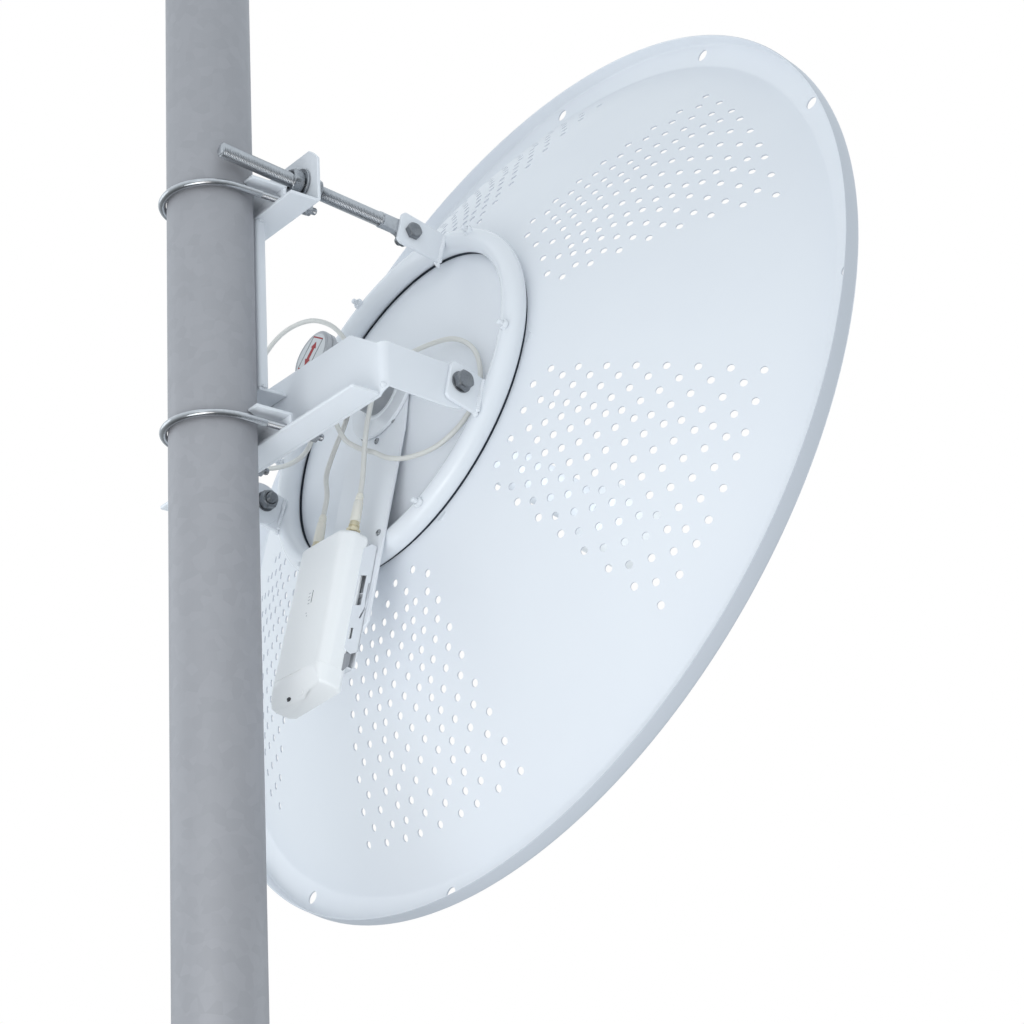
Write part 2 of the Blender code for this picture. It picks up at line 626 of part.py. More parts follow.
def build_radio(dish):
    """The radio unit and the clip that holds it on the plate under the feed."""
    u = DISH_CENTRE_U
    plate_front = VERTEX_N - SEAT
    plate_rear = plate_front - 0.003
    outline = [(-0.050, -0.060), (-0.050, -0.292), (-0.042, -0.302), (0.042, -0.302),
               (0.050, -0.292), (0.050, -0.060), (0.036, 0.040), (0.028, 0.048),
               (-0.028, 0.048), (-0.036, 0.040)]
    place("radio_plate", extrude_outline("radio_plate", [(x, u + v) for x, v in outline],
                                         plate_rear, plate_front, "Y"), white_paint(), dish)
    radio_front = RADIO_REAR_N + RADIO_DEPTH
    place("radio_clip", box("radio_clip", (-CLIP_HALF, radio_front + SEAT, u + CLIP_BOTTOM),
                            (CLIP_HALF, plate_rear - SEAT, u + CLIP_TOP)), white_paint(), dish)
    split = RADIO_CHIN + 0.008
    top_flat, low_flat = 0.0330, 0.0395
    place("radio_body", loft("radio_body", [radio_section(low_flat, u + split),
                                            radio_section(top_flat, u + RADIO_TOP)]),
          white_plastic(), dish)
    chin = radio_section(low_flat, u + RADIO_CHIN)
    end_rear = RADIO_REAR_N + 0.010
    low = [(x * 0.94, max(n, end_rear + 0.0005 * (i // 2)), u + RADIO_BOTTOM)
           for i, (x, n, _) in enumerate(chin)]
    place("radio_end_cover", loft("radio_end_cover", [low, chin,
                                                      radio_section(low_flat, u + split - SEAT)]),
          white_plastic(), dish)
    for side, name in ((-1, "far"), (1, "near")):
        base = u + RADIO_TOP + SEAT
        rings = [hexagon(0.0125, 0), hexagon(0.0125, 0.004), circle(0.0052, 0.004, 24),
                 circle(0.0052, 0.012, 24)]
        place(name + "_connector", loft("connector", rings), brass(), dish,
              (side * CONNECTOR_X, CONNECTOR_N, base))
        rings = [circle(0.0072, 0, 24), circle(0.0072, 0.014, 24), circle(0.0058, 0.016, 24),
                 circle(0.0040, 0.034, 24)]
        place(name + "_cable_boot", loft("boot", rings), white_plastic(), dish,
              (side * CONNECTOR_X, CONNECTOR_N, base + 0.012 + SEAT))


CABLE_RADIUS = 0.0027
FEED_PORTS = {"far": math.radians(-135), "near": math.radians(-172)}   # from the dish's top
FEED_PORT_N = -0.0295
PORT_ROOT = FEED_RADIUS + SEAT
PORT_TIP = PORT_ROOT + 0.012


def port_point(name, reach):
    """A point out along one of the feed's ports, in (x, n, height from the dish centre)."""
    angle = FEED_PORTS[name]
    return (reach * math.sin(angle), FEED_PORT_N, reach * math.cos(angle))


FAR_CABLE = [(-0.0325, -0.0029, -0.1488), (-0.0335, -0.0029, -0.125), (-0.044, -0.0025, -0.095),
             (-0.045, 0.0015, -0.060), (-0.037, 0.0035, -0.025), (-0.036, 0.0035, 0.015),
             (-0.045, 0.0005, 0.060), (-0.076, -0.0075, 0.106), (-0.118, -0.0125, 0.1365),
             (-0.160, -0.0140, 0.1500), (-0.197, -0.0140, 0.1490), (-0.226, -0.0130, 0.130),
             (-0.240, -0.0120, 0.093), (-0.235, -0.0110, 0.045), (-0.210, -0.0105, -0.003),
             (-0.170, -0.0110, -0.036), (-0.130, -0.0120, -0.053), (-0.096, -0.0140, -0.061),
             (-0.066, -0.0195, -0.063), (-0.045, -0.0265, -0.052),
             port_point("far", PORT_TIP + 0.010), port_point("far", PORT_TIP + SEAT)]
NEAR_CABLE = [(0.0325, -0.0029, -0.1488), (0.0325, -0.0045, -0.125), (0.033, -0.0090, -0.095),
              (0.032, -0.0110, -0.060), (0.036, -0.0105, -0.022), (0.050, 0.0005, 0.010),
              (0.078, 0.0165, 0.027), (0.112, 0.0265, 0.024), (0.142, 0.0335, -0.002),
              (0.154, 0.0375, -0.042), (0.144, 0.0355, -0.082), (0.114, 0.0285, -0.107),
              (0.080, 0.0185, -0.113), (0.054, 0.0095, -0.108), (0.031, 0.0045, -0.094),
              (0.010, -0.0015, -0.083), (-0.004, -0.0135, -0.071),
              port_point("near", PORT_TIP + 0.012), port_point("near", PORT_TIP + SEAT)]


def build_cables(dish):
    """The two jumper leads, whole, from the radio's connectors round to the feed body."""
    for name, route in (("far", FAR_CABLE), ("near", NEAR_CABLE)):
        path = smooth_path([(x, n, DISH_CENTRE_U + v) for x, n, v in route], 4)
        place(name + "_cable", tube_curve(name + "_cable", path, CABLE_RADIUS, 1),
              white_plastic(), dish)
        rings = [circle(0.0055, 0, 24), circle(0.0055, 0.004, 24), circle(0.0045, 0.004, 24),
                 circle(0.0045, PORT_TIP - PORT_ROOT - SEAT, 24)]
        x, n, v = port_point(name, PORT_ROOT)
        place(name + "_feed_port", loft("feed_port", rings), brass(), dish,
              (x, n, DISH_CENTRE_U + v), (0, FEED_PORTS[name], 0))


def rod_crossing():
    """Where the rod's centre line crosses the middle of the upper plate."""
    web_y = YOKE_FRONT - PIVOT_Y - PLATE / 2
    drift = (ROD_PIN.y - web_y) * math.tan(ROD_SKEW)
    return Vector((ROD_PIN.x + drift, web_y, ROD_HOLE_Z))


def rod_pitch():
    """How steeply the rod rises towards the rear, and its length from the pin to the plate."""
    way = rod_crossing() - ROD_PIN
    span = math.hypot(way.y, way.z)
    return math.atan2(way.z, -way.y) - math.asin(ROD_LIFT / span), span


def build_rod(rod):
    """The threaded rod and the flat bar on its end, in a frame whose local Z runs along it."""
    pitch, span = rod_pitch()
    drift = math.tan(ROD_SKEW)
    half_x = EYE_THICK / 2
    flat = ((-0.0125, 0.0000, 0.0060), (-0.0095, 0.0005, 0.0100), (0.0, 0.0010, 0.0120),
            (0.010, 0.0025, 0.0112), (0.017, 0.0040, 0.0090), (0.022, ROD_LIFT, 0.0085),
            (ROD_NECK - 0.001, ROD_LIFT, 0.0085))
    rings = [[(half_x * a, centre + half_y * b, height) for a, b in rounded_square()]
             for height, centre, half_y in flat]
    length = span + ROD_REAR
    for radius, height in ((ROD_RADIUS, ROD_NECK), (ROD_RADIUS, length - 0.001),
                           (ROD_RADIUS - 0.001, length)):
        rings.append([(x + height * drift, y + ROD_LIFT, z) for x, y, z in circle(radius, height, 24)])
    made = place("elevation_rod", loft("elevation_rod", rings), zinc(), rod, (0, 0, 0),
                 (math.pi / 2 - pitch, 0, 0))
    cut(made, [drill("eye_bore", PIN_BORE, "X", (0, 0, 0), half=0.012)])


def build_rod_nuts(nuts):
    """A nut and washer on each side of the upper plate."""
    pitch, _ = rod_pitch()
    centre = rod_crossing() - ROD_PIN
    for name, flip, washer in (("rear", -1, 0.0165), ("front", 1, 0.0135)):
        step, end = flip * ROD_WASHER, flip * (ROD_WASHER + ROD_NUT_THICK)
        rings = [circle(washer, 0, 24), circle(washer, step, 24), hexagon(ROD_NUT_FLATS, step),
                 hexagon(ROD_NUT_FLATS, end), circle(ROD_NUT_BORE, end, 24),
                 circle(ROD_NUT_BORE, 0, 24)]
        face = flip * (PLATE / 2 + ROD_NUT_GAP)
        middle = face + end / 2
        place(name + "_rod_nut", loft("rod_nut", rings, closed=True), zinc(), nuts,
              (centre.x - middle * math.tan(ROD_SKEW), centre.y + face,
               centre.z - middle * math.tan(pitch)), (-math.pi / 2, 0, 0))


def rounded_square(count=24):
    """Unit square points with the same count and phase as a circle."""
    points = []
    for i in range(count):
        angle = 2 * math.pi * i / count
        c, s = math.cos(angle), math.sin(angle)
        points.append((math.copysign(min(1.0, abs(c) * 1.45), c),
                       math.copysign(min(1.0, abs(s) * 1.45), s)))
    return points


def main():
    clear_scene()
    build_mast()
    mount = empty("mount_frame", None, (0, PIVOT_Y, PIVOT_Z))
    build_yoke(mount)
    build_upper_bracket(mount)
    build_spine(mount)
    for label, seat in (("upper", UPPER_BOTTOM + PLATE), ("lower", YOKE_BOTTOM + PLATE)):
        build_saddle(mount, label, U_HEIGHTS[label], seat)
        build_u_bolt(mount, label, U_HEIGHTS[label])
    for side, name in ((1, "near"), (-1, "far")):
        build_pivot_bolt(mount, side, name)
    dish = empty("dish_frame", None, (0, PIVOT_Y, PIVOT_Z), (-DISH_TILT, 0, 0))
    build_reflector(dish)
    ring_n = build_ring(dish)
    for side, name in ((1, "near"), (-1, "far")):
        build_side_lug(dish, side, name, ring_n)
    build_top_lug(dish, ring_n)
    build_feed(dish)
    build_radio(dish)
    build_cables(dish)
    pin = Vector((0, PIVOT_Y, PIVOT_Z)) + ROD_PIN
    build_rod(empty("rod_frame", None, pin))
    build_rod_nuts(empty("rod_nut_frame", None, pin))


main()
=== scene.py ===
import json
import math

import bmesh
import bpy
import numpy as np
from mathutils import Matrix, Vector
from mathutils.geometry import delaunay_2d_cdt


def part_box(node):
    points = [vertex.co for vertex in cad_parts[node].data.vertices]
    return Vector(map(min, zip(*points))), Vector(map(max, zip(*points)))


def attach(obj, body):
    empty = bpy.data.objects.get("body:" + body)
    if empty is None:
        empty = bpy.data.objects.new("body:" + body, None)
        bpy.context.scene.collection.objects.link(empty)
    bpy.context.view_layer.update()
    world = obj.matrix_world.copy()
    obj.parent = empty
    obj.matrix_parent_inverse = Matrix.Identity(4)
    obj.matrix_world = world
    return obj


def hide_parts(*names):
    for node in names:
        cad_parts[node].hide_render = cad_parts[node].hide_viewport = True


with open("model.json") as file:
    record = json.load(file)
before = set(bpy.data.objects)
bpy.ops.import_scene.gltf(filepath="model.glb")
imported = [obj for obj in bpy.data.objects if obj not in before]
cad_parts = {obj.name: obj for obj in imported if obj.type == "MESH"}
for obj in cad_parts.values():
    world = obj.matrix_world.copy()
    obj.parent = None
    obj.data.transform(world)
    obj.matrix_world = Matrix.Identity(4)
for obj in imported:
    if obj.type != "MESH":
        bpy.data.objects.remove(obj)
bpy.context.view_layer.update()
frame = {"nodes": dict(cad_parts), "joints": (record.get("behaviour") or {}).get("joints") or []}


# Camera. The photograph is taken from behind, below and to one side of the dish, with a
# medium telephoto lens. Its angles and distance come from a fit to the outlines of the rim
# and the ring, so the camera looks up at the antenna from below its foot.
CAMERA_AT = (2.0135, -1.3125, -0.4280)
CAMERA_YAW = 0.8713                   # these three angles are in radians
CAMERA_PITCH = 0.4023
CAMERA_ROLL = -0.0606
FOCAL_PIXELS = 2649.7                 # focal length, as a number of the picture's pixels
PICTURE_PIXELS = 1024
SENSOR_MM = 36


def aim_camera(at, yaw, pitch, roll):
    """Matrix of a camera that looks along yaw and pitch, then rolls about its own axis."""
    forward = np.array([-math.sin(yaw) * math.cos(pitch), math.cos(yaw) * math.cos(pitch),
                        math.sin(pitch)])
    level = np.array([math.cos(yaw), math.sin(yaw), 0.0])
    above = np.cross(level, forward)
    right = math.cos(roll) * level + math.sin(roll) * above
    up = math.cos(roll) * above - math.sin(roll) * level
    turn = np.eye(4)
    turn[:3, 0], turn[:3, 1], turn[:3, 2], turn[:3, 3] = right, up, -forward, at
    return Matrix(turn.tolist())


def put_in_scene(name, data):
    """An object that shows a mesh, a curve, a light or a camera, at the origin."""
    made = bpy.data.objects.new(name, data)
    bpy.context.scene.collection.objects.link(made)
    return made


lens = bpy.data.cameras.new("camera")
lens.sensor_width = SENSOR_MM
lens.lens = FOCAL_PIXELS / PICTURE_PIXELS * SENSOR_MM
camera = put_in_scene("camera", lens)
camera.matrix_world = aim_camera(CAMERA_AT, CAMERA_YAW, CAMERA_PITCH, CAMERA_ROLL)
bpy.context.scene.camera = camera
bpy.context.scene.view_settings.view_transform = "Standard"


# Light. A white cyclorama gives an even, slightly cool surround, and metals mirror it darker
# towards the floor. Large soft panels stand near the camera, below, beside and in front of the
# antenna, and a small one lights the feed in the bowl. They are hidden from the camera.
def linear(hex_colour):
    """An sRGB hex colour as the linear values that a shader takes."""
    parts = [int(hex_colour[i:i + 2], 16) / 255 for i in (1, 3, 5)]
    return (*(v / 12.92 if v <= 0.04045 else ((v + 0.055) / 1.055) ** 2.4 for v in parts), 1.0)


def join(tree, node, sockets):
    """Fill a node's inputs: a socket is linked, anything else is set as its value."""
    for name, value in sockets.items():
        if isinstance(value, bpy.types.NodeSocket):
            tree.links.new(value, node.inputs[name])
        else:
            node.inputs[name].default_value = value


def add_node(tree, kind, sockets=None, **settings):
    """Add a node with its own settings, then its input values and links."""
    made = tree.nodes.new(kind)
    for name, value in settings.items():
        setattr(made, name, value)
    join(tree, made, sockets or {})
    return made


SURROUND = "#f1f9ff"
SURROUND_STRENGTH = 0.76
MIRRORED_LOW, MIRRORED_HIGH = 0.15, 1.05   # the studio as metals mirror it, floor to ceiling
LOW_RISE, HIGH_RISE = -0.7, 0.6            # rise of the rays that see those two ends
COOL_LIGHT, WARM_LIGHT = "#f6fbff", "#fffaf6"
AIM = (0.0, 0.3, 0.75)                     # every panel faces the middle of the antenna
# Each panel has its place, its width in metres, its power in watts and its colour.
PANELS = {"camera_panel": ((1.9, -2.2, -1.1), 2.0, 15.5, WARM_LIGHT),
          "low_panel": ((0.7, -2.2, -1.4), 2.0, 22.0, COOL_LIGHT),
          "right_panel": ((1.7, -2.4, 1.6), 2.0, 4.0, COOL_LIGHT),
          "left_panel": ((-2.4, -1.4, 1.2), 2.0, 9.0, COOL_LIGHT),
          "front_panel": ((0.6, 3.2, 1.2), 2.0, 14.0, COOL_LIGHT),
          "feed_fill": ((0.20, 0.41, 0.63), 0.12, 0.26, COOL_LIGHT)}
world = bpy.data.worlds.new("cyclorama")
bpy.context.scene.world = world
world.use_nodes = True
sky = world.node_tree
seen = add_node(sky, "ShaderNodeBackground", {"Color": (1.0, 1.0, 1.0, 1.0), "Strength": 1.0})
lit = add_node(sky, "ShaderNodeBackground",
               {"Color": linear(SURROUND), "Strength": SURROUND_STRENGTH})
way = add_node(sky, "ShaderNodeTexCoord").outputs["Generated"]
rise = add_node(sky, "ShaderNodeSeparateXYZ", {"Vector": way}).outputs["Z"]
level = add_node(sky, "ShaderNodeMapRange",
                 {"Value": rise, "From Min": LOW_RISE, "From Max": HIGH_RISE,
                  "To Min": MIRRORED_LOW, "To Max": MIRRORED_HIGH})
mirrored = add_node(sky, "ShaderNodeBackground",
                    {"Color": linear(SURROUND), "Strength": level.outputs[0]})
rays = add_node(sky, "ShaderNodeLightPath")
felt = add_node(sky, "ShaderNodeMixShader", {0: rays.outputs["Is Glossy Ray"],
                                             1: lit.outputs[0], 2: mirrored.outputs[0]})
both = add_node(sky, "ShaderNodeMixShader", {0: rays.outputs["Is Camera Ray"],
                                             1: felt.outputs[0], 2: seen.outputs[0]})
join(sky, sky.nodes["World Output"], {"Surface": both.outputs[0]})

for name, (at, width, watts, colour) in PANELS.items():
    panel = bpy.data.lights.new(name, "AREA")
    panel.shape = "DISK"
    panel.size = width
    panel.energy = watts
    panel.color = linear(colour)[:3]
    lamp = put_in_scene(name, panel)
    lamp.visible_camera = False
    lamp.location = at
    lamp.rotation_euler = (Vector(AIM) - Vector(at)).to_track_quat("-Z", "Y").to_euler()


# Floor. A pale sheet under the mast's foot. The photograph looks up from below that level,
# so the sheet is pale paper from above, and lets light and view through from underneath.
FLOOR_HALF = 4.0
FLOOR_DROP = 0.001
FLOOR_COLOUR = "#dfe1e4"
corners = [(-FLOOR_HALF, -FLOOR_HALF), (FLOOR_HALF, -FLOOR_HALF), (FLOOR_HALF, FLOOR_HALF),
           (-FLOOR_HALF, FLOOR_HALF)]
sheet = bpy.data.meshes.new("floor")
sheet.from_pydata([(x, y, -FLOOR_DROP) for x, y in corners], [], [(0, 1, 2, 3)])
paper = bpy.data.materials.new("floor_paper")
paper.use_nodes = True
tree = paper.node_tree
pale = add_node(tree, "ShaderNodeBsdfDiffuse", {"Color": linear(FLOOR_COLOUR)})
clear = add_node(tree, "ShaderNodeBsdfTransparent")
side = add_node(tree, "ShaderNodeNewGeometry")
choice = add_node(tree, "ShaderNodeMixShader", {0: side.outputs["Backfacing"],
                                                1: pale.outputs[0], 2: clear.outputs[0]})
join(tree, tree.nodes["Material Output"], {"Surface": choice.outputs[0]})
sheet.materials.append(paper)
floor = put_in_scene("floor", sheet)
floor.visible_diffuse = floor.visible_glossy = floor.visible_shadow = False


# Mast. A galvanised steel tube, 88.9 mm across, cut square at both ends. Its foot is closed,
# and a plastic plug is pressed just inside its top.
MIX_A, MIX_B, MIX_OUT = 6, 7, 2       # colour sockets of a Mix node
SPANGLE = 0.011                       # zinc crystals on the mast
DRAW_LINE = 0.0025                    # faint lines along the drawn tube, drawn coarse to show
DRAW_LENGTH = 0.5
MAST_EDGE = 0.0008
MAST_WALL = 0.004
ROUND_MIDDLE = 0.3                    # a rounded edge's middle lies this share of it inside
PLUG_RECESS = 0.003
PLUG_ROUND = 0.0012
PLUG_SLACK = 0.0002
PLUG_DIMPLE = (0.012, 0.011, 0.0008)  # mould mark in its middle: two radii and the depth
SEAT = 0.0003                         # pieces that touch in the real one stand this far apart


def new_material(name):
    """A Principled material, with its node tree and its shader."""
    made = bpy.data.materials.new(name)
    made.use_nodes = True
    return made, made.node_tree, made.node_tree.nodes["Principled BSDF"]


def galvanised_steel():
    """Hot-dip galvanised tube: dull grey metal, faint crystals, fine lines along its length."""
    look, tree, shader = new_material("galvanised_steel")
    at = add_node(tree, "ShaderNodeTexCoord").outputs["Object"]
    crystals = add_node(tree, "ShaderNodeTexVoronoi", {"Vector": at, "Scale": 1 / SPANGLE})
    shade = add_node(tree, "ShaderNodeSeparateColor", {"Color": crystals.outputs["Color"]})
    along = add_node(tree, "ShaderNodeMapping",
                     {"Vector": at, "Scale": (1 / DRAW_LINE, 1 / DRAW_LINE, 1 / DRAW_LENGTH)})
    lines = add_node(tree, "ShaderNodeTexNoise",
                     {"Vector": along.outputs[0], "Scale": 1.0, "Detail": 2.0})
    tone = add_node(tree, "ShaderNodeMix", {0: shade.outputs["Red"],
                                            MIX_A: linear("#a4a4a8"), MIX_B: linear("#a9a9ad")},
                    data_type="RGBA")
    dull = add_node(tree, "ShaderNodeMapRange", {"Value": lines.outputs["Fac"],
                                                 "To Min": 0.50, "To Max": 0.60})
    relief = add_node(tree, "ShaderNodeBump", {"Height": lines.outputs["Fac"],
                                               "Strength": 0.10, "Distance": 0.0002})
    join(tree, shader, {"Base Color": tone.outputs[MIX_OUT], "Metallic": 0.25,
                        "Roughness": dull.outputs[0], "Normal": relief.outputs[0]})
    return look


def moulded_plastic(name, colour, roughness, grain, depth, shine=0.5):
    """Moulded plastic: an even colour with the fine spark-eroded grain of its mould."""
    look, tree, shader = new_material(name)
    at = add_node(tree, "ShaderNodeTexCoord").outputs["Object"]
    texture = add_node(tree, "ShaderNodeTexNoise", {"Vector": at, "Scale": 1 / grain})
    relief = add_node(tree, "ShaderNodeBump", {"Height": texture.outputs["Fac"],
                                               "Strength": depth, "Distance": 0.0001})
    rough = add_node(tree, "ShaderNodeMapRange", {"Value": texture.outputs["Fac"],
                                                  "To Min": roughness - 0.04,
                                                  "To Max": roughness + 0.04})
    join(tree, shader, {"Base Color": linear(colour), "Roughness": rough.outputs[0],
                        "Specular IOR Level": shine, "Normal": relief.outputs[0]})
    return look


def turned_rows(profile, around=48):
    """Loops of a turned piece about local Z, one for each (radius, height) step: x is radius
    times cos a, and y is radius times sin a. A step with a third value is a hexagon that wide
    across its flats, cut back to the radius, as when a hexagon bar is chamfered in a lathe."""
    angle = np.linspace(0, 2 * np.pi, around, endpoint=False)
    from_flat = angle % (np.pi / 3) - np.pi / 6
    rows = []
    for radius, height, *flats in profile:
        reach = np.full(around, float(radius))
        if flats:
            reach = np.minimum(reach, flats[0] / 2 / np.cos(from_flat))
        rows.append(np.stack([reach * np.cos(angle), reach * np.sin(angle),
                              np.full(around, float(height))], 1))
    return np.array(rows)


def skin(rows, closed=False):
    """Points and faces of stacked loops. Neighbours are joined by quads, and the end loops
    are capped, or joined to each other when closed."""
    count, around = rows.shape[:2]
    index = np.arange(count * around).reshape(count, around)
    low = index if closed else index[:-1]
    high = np.roll(index, -1, 0) if closed else index[1:]
    quads = np.stack([low, np.roll(low, -1, 1), np.roll(high, -1, 1), high], -1)
    faces = [quads.reshape(-1, 4)]
    if not closed:
        faces += [index[:1, ::-1], index[-1:]]
    return rows.reshape(-1, 3), faces


def make_piece(name, parts, look, body, stands_for=(), sharp=32):
    """One object from finished surfaces, with faces outwards and edges over the angle crisp."""
    starts = np.cumsum([0] + [len(points) for points, _ in parts])
    points = np.concatenate([points for points, _ in parts])
    faces = [face for (_, groups), start in zip(parts, starts)
             for group in groups for face in (group + start).tolist()]
    mesh = bpy.data.meshes.new(name)
    mesh.from_pydata(points.tolist(), [], faces)
    shell = bmesh.new()
    shell.from_mesh(mesh)
    bmesh.ops.recalc_face_normals(shell, faces=shell.faces)
    shell.to_mesh(mesh)
    shell.free()
    mesh.shade_smooth()
    mesh.set_sharp_from_angle(angle=math.radians(sharp))
    mesh.materials.append(look)
    made = put_in_scene(name, mesh)
    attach(made, body)
    if stands_for:
        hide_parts(*stands_for)
    return made


mast_low, mast_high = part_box("mast")
mast_radius = (mast_high.x - mast_low.x) / 2
mast_top = mast_high.z
mast_bore = mast_radius - MAST_WALL
middle = ROUND_MIDDLE * MAST_EDGE
tube = turned_rows([(mast_radius - MAST_EDGE, 0.0), (mast_radius - middle, middle),
                    (mast_radius, MAST_EDGE), (mast_radius, mast_top - MAST_EDGE),
                    (mast_radius - middle, mast_top - middle),
                    (mast_radius - MAST_EDGE, mast_top), (mast_bore, mast_top),
                    (mast_bore, mast_top - PLUG_RECESS)], 160)
make_piece("mast_tube", [skin(tube)], galvanised_steel(), "mast", ["mast"])
plug_top = mast_top - SEAT
middle = ROUND_MIDDLE * PLUG_ROUND
dimple_radius, dimple_bottom, dimple_depth = PLUG_DIMPLE
plug = turned_rows([(mast_bore - PLUG_SLACK, mast_top - PLUG_RECESS + PLUG_SLACK),
                    (mast_bore - PLUG_SLACK, plug_top - PLUG_ROUND),
                    (mast_bore - middle, plug_top - middle), (mast_bore - PLUG_ROUND, plug_top),
                    (dimple_radius, plug_top), (dimple_bottom, plug_top - dimple_depth)], 96)
plug_grey = moulded_plastic("grey_polyethylene", "#77797c", roughness=0.55, grain=0.0006,
                            depth=0.2)
make_piece("mast_plug", [skin(plug)], plug_grey, "mast")


# U-bolts. Two 8 mm bars bent round the mast, bright zinc plated, with rolled M8 threads on
# both legs. A plain hexagon nut on each leg pulls the bracket against the mast.
U_THREAD_START = 0.0300               # the threads begin this far in front of the mast's axis
M8_PITCH = 0.00125
ROWS_A_TURN = 6
U_NUT_FLATS = 0.013
U_BEND_STEPS = 60
U_TIP = 0.72                          # share of the radius that is left at a leg's end
TIP_CHAMFER = 0.0012
BORE_SLACK = 0.0002                   # a nut's bore over its bolt's radius
PLATING_BLOTCH = 0.004
PLATING_GRAIN = 0.0007


def zinc_plate(name, colour, roughness):
    """Bright zinc plating: a blue-grey metal with faint cloudy patches and a fine tooth."""
    look, tree, shader = new_material(name)
    at = add_node(tree, "ShaderNodeTexCoord").outputs["Object"]
    clouds = add_node(tree, "ShaderNodeTexNoise", {"Vector": at, "Scale": 1 / PLATING_BLOTCH,
                                                   "Detail": 3.0})
    tooth = add_node(tree, "ShaderNodeTexNoise", {"Vector": at, "Scale": 1 / PLATING_GRAIN})
    dim = tuple(0.72 * v for v in linear(colour)[:3]) + (1.0,)
    tone = add_node(tree, "ShaderNodeMix", {0: clouds.outputs["Fac"],
                                            MIX_A: dim, MIX_B: linear(colour)}, data_type="RGBA")
    dull = add_node(tree, "ShaderNodeMapRange", {"Value": clouds.outputs["Fac"],
                                                 "To Min": roughness + 0.10,
                                                 "To Max": roughness - 0.06})
    relief = add_node(tree, "ShaderNodeBump", {"Height": tooth.outputs["Fac"],
                                               "Strength": 0.05, "Distance": 0.00005})
    join(tree, shader, {"Base Color": tone.outputs[MIX_OUT], "Metallic": 1.0,
                        "Roughness": dull.outputs[0], "Normal": relief.outputs[0]})
    return look


def thread_radius(along, radius, pitch, around, cut=1.0):
    """Radius of a threaded bar at each place along it and each angle round it: a V-shaped
    groove six tenths of the pitch deep, that moves one pitch along in each turn."""
    angle = np.linspace(0, 1, around, endpoint=False)
    phase = (along[:, None] / pitch - angle[None, :]) % 1.0
    return radius - 0.6 * pitch * np.abs(2 * phase - 1) * np.asarray(cut).reshape(-1, 1)


def swept_rows(centres, sideways, radius, around):
    """Loops of a bar along a path: each is a circle, or any radius by angle, in the plane
    square to the path, counted from the sideways direction."""
    ahead = np.gradient(centres, axis=0)
    ahead /= np.linalg.norm(ahead, axis=1, keepdims=True)
    upward = np.cross(ahead, sideways)
    angle = np.linspace(0, 2 * np.pi, around, endpoint=False)
    wide = np.broadcast_to(radius, (len(centres), around))[..., None]
    return (centres[:, None] + wide * (np.cos(angle)[None, :, None] * sideways[:, None]
                                       + np.sin(angle)[None, :, None] * upward[:, None]))


def u_bolt_rows(spacing, height, end, radius, around=20):
    """A U-bolt: near leg from its tip to the bend, a half circle behind the mast, far leg."""
    step = M8_PITCH / ROWS_A_TURN
    leg = np.arange(end, 0, -step)
    turn = np.linspace(0, -np.pi, U_BEND_STEPS)[1:-1]
    tail = leg[::-1]
    x = np.concatenate([np.full(len(leg), spacing), spacing * np.cos(turn),
                        np.full(len(tail), -spacing)])
    y = np.concatenate([leg, spacing * np.sin(turn), tail])
    out_x = np.concatenate([np.ones(len(leg)), np.cos(turn), -np.ones(len(tail))])
    out_y = np.concatenate([np.zeros(len(leg)), np.sin(turn), np.zeros(len(tail))])
    centres = np.stack([x, y, np.full(len(x), height)], 1)
    sideways = np.stack([out_x, out_y, np.zeros(len(x))], 1)
    cut = np.clip((y - U_THREAD_START) / M8_PITCH, 0, 1)
    wide = thread_radius(y, radius, M8_PITCH, around, cut)
    taper = np.clip(U_TIP + (1 - U_TIP) * (end - y) / TIP_CHAMFER, 0, 1)
    return swept_rows(centres, sideways, wide * taper[:, None], around)


def nut_rows(across, thick, bore, around=48):
    """A hexagon nut about local Z: chamfered corners on both faces and a chamfered bore."""
    flat = across / 2
    cut = 0.09 * across
    lip = 0.05 * across
    side = [(0.94 * flat, 0.0), (1.05 * flat, 0.45 * cut, across), (1.16 * flat, cut, across)]
    over = [(r, thick - h, *rest) for r, h, *rest in reversed(side)]
    return turned_rows(side + over + [(bore + lip, thick), (bore, thick - lip), (bore, lip),
                                      (bore + lip, 0.0)], around)


def aimed(rows, at, along, spin=0.0):
    """Rows made about local Z, turned so that Z points along a direction, and moved there."""
    z_axis = np.array(along, float) / np.linalg.norm(along)
    upright = (0.0, 0.0, 1.0) if abs(z_axis[2]) < 0.9 else (0.0, 1.0, 0.0)
    x_axis = np.array(upright) - np.dot(upright, z_axis) * z_axis
    x_axis /= np.linalg.norm(x_axis)
    y_axis = np.cross(z_axis, x_axis)
    c, s = math.cos(spin), math.sin(spin)
    basis = np.array([c * x_axis + s * y_axis, c * y_axis - s * x_axis, z_axis])
    return rows @ basis + np.array(at, float)


bright_zinc = zinc_plate("bright_zinc_plate", "#d0d2d5", roughness=0.17)
nut_zinc = zinc_plate("dull_zinc_plate", "#b0b3b7", roughness=0.26)
for label in ("upper", "lower"):
    low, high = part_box(label + "_u_bolt")
    rod = (high.z - low.z) / 2
    leg_x, leg_z = high.x - rod, (low.z + high.z) / 2
    make_piece(label + "_u_bolt_bar", [skin(u_bolt_rows(leg_x, leg_z, high.y, rod))],
               bright_zinc, "bracket", [label + "_u_bolt"], 60)
    for side, name in ((1, "near"), (-1, "far")):
        low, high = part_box("%s_u_nut_%s" % (label, name))
        rows = nut_rows(U_NUT_FLATS, high.y - low.y, rod + BORE_SLACK)
        make_piece("%s_%s_u_bolt_nut" % (label, name),
                   [skin(aimed(rows, (side * leg_x, low.y, leg_z), (0, 1, 0)), closed=True)],
                   nut_zinc, "bracket", ["%s_u_nut_%s" % (label, name)])


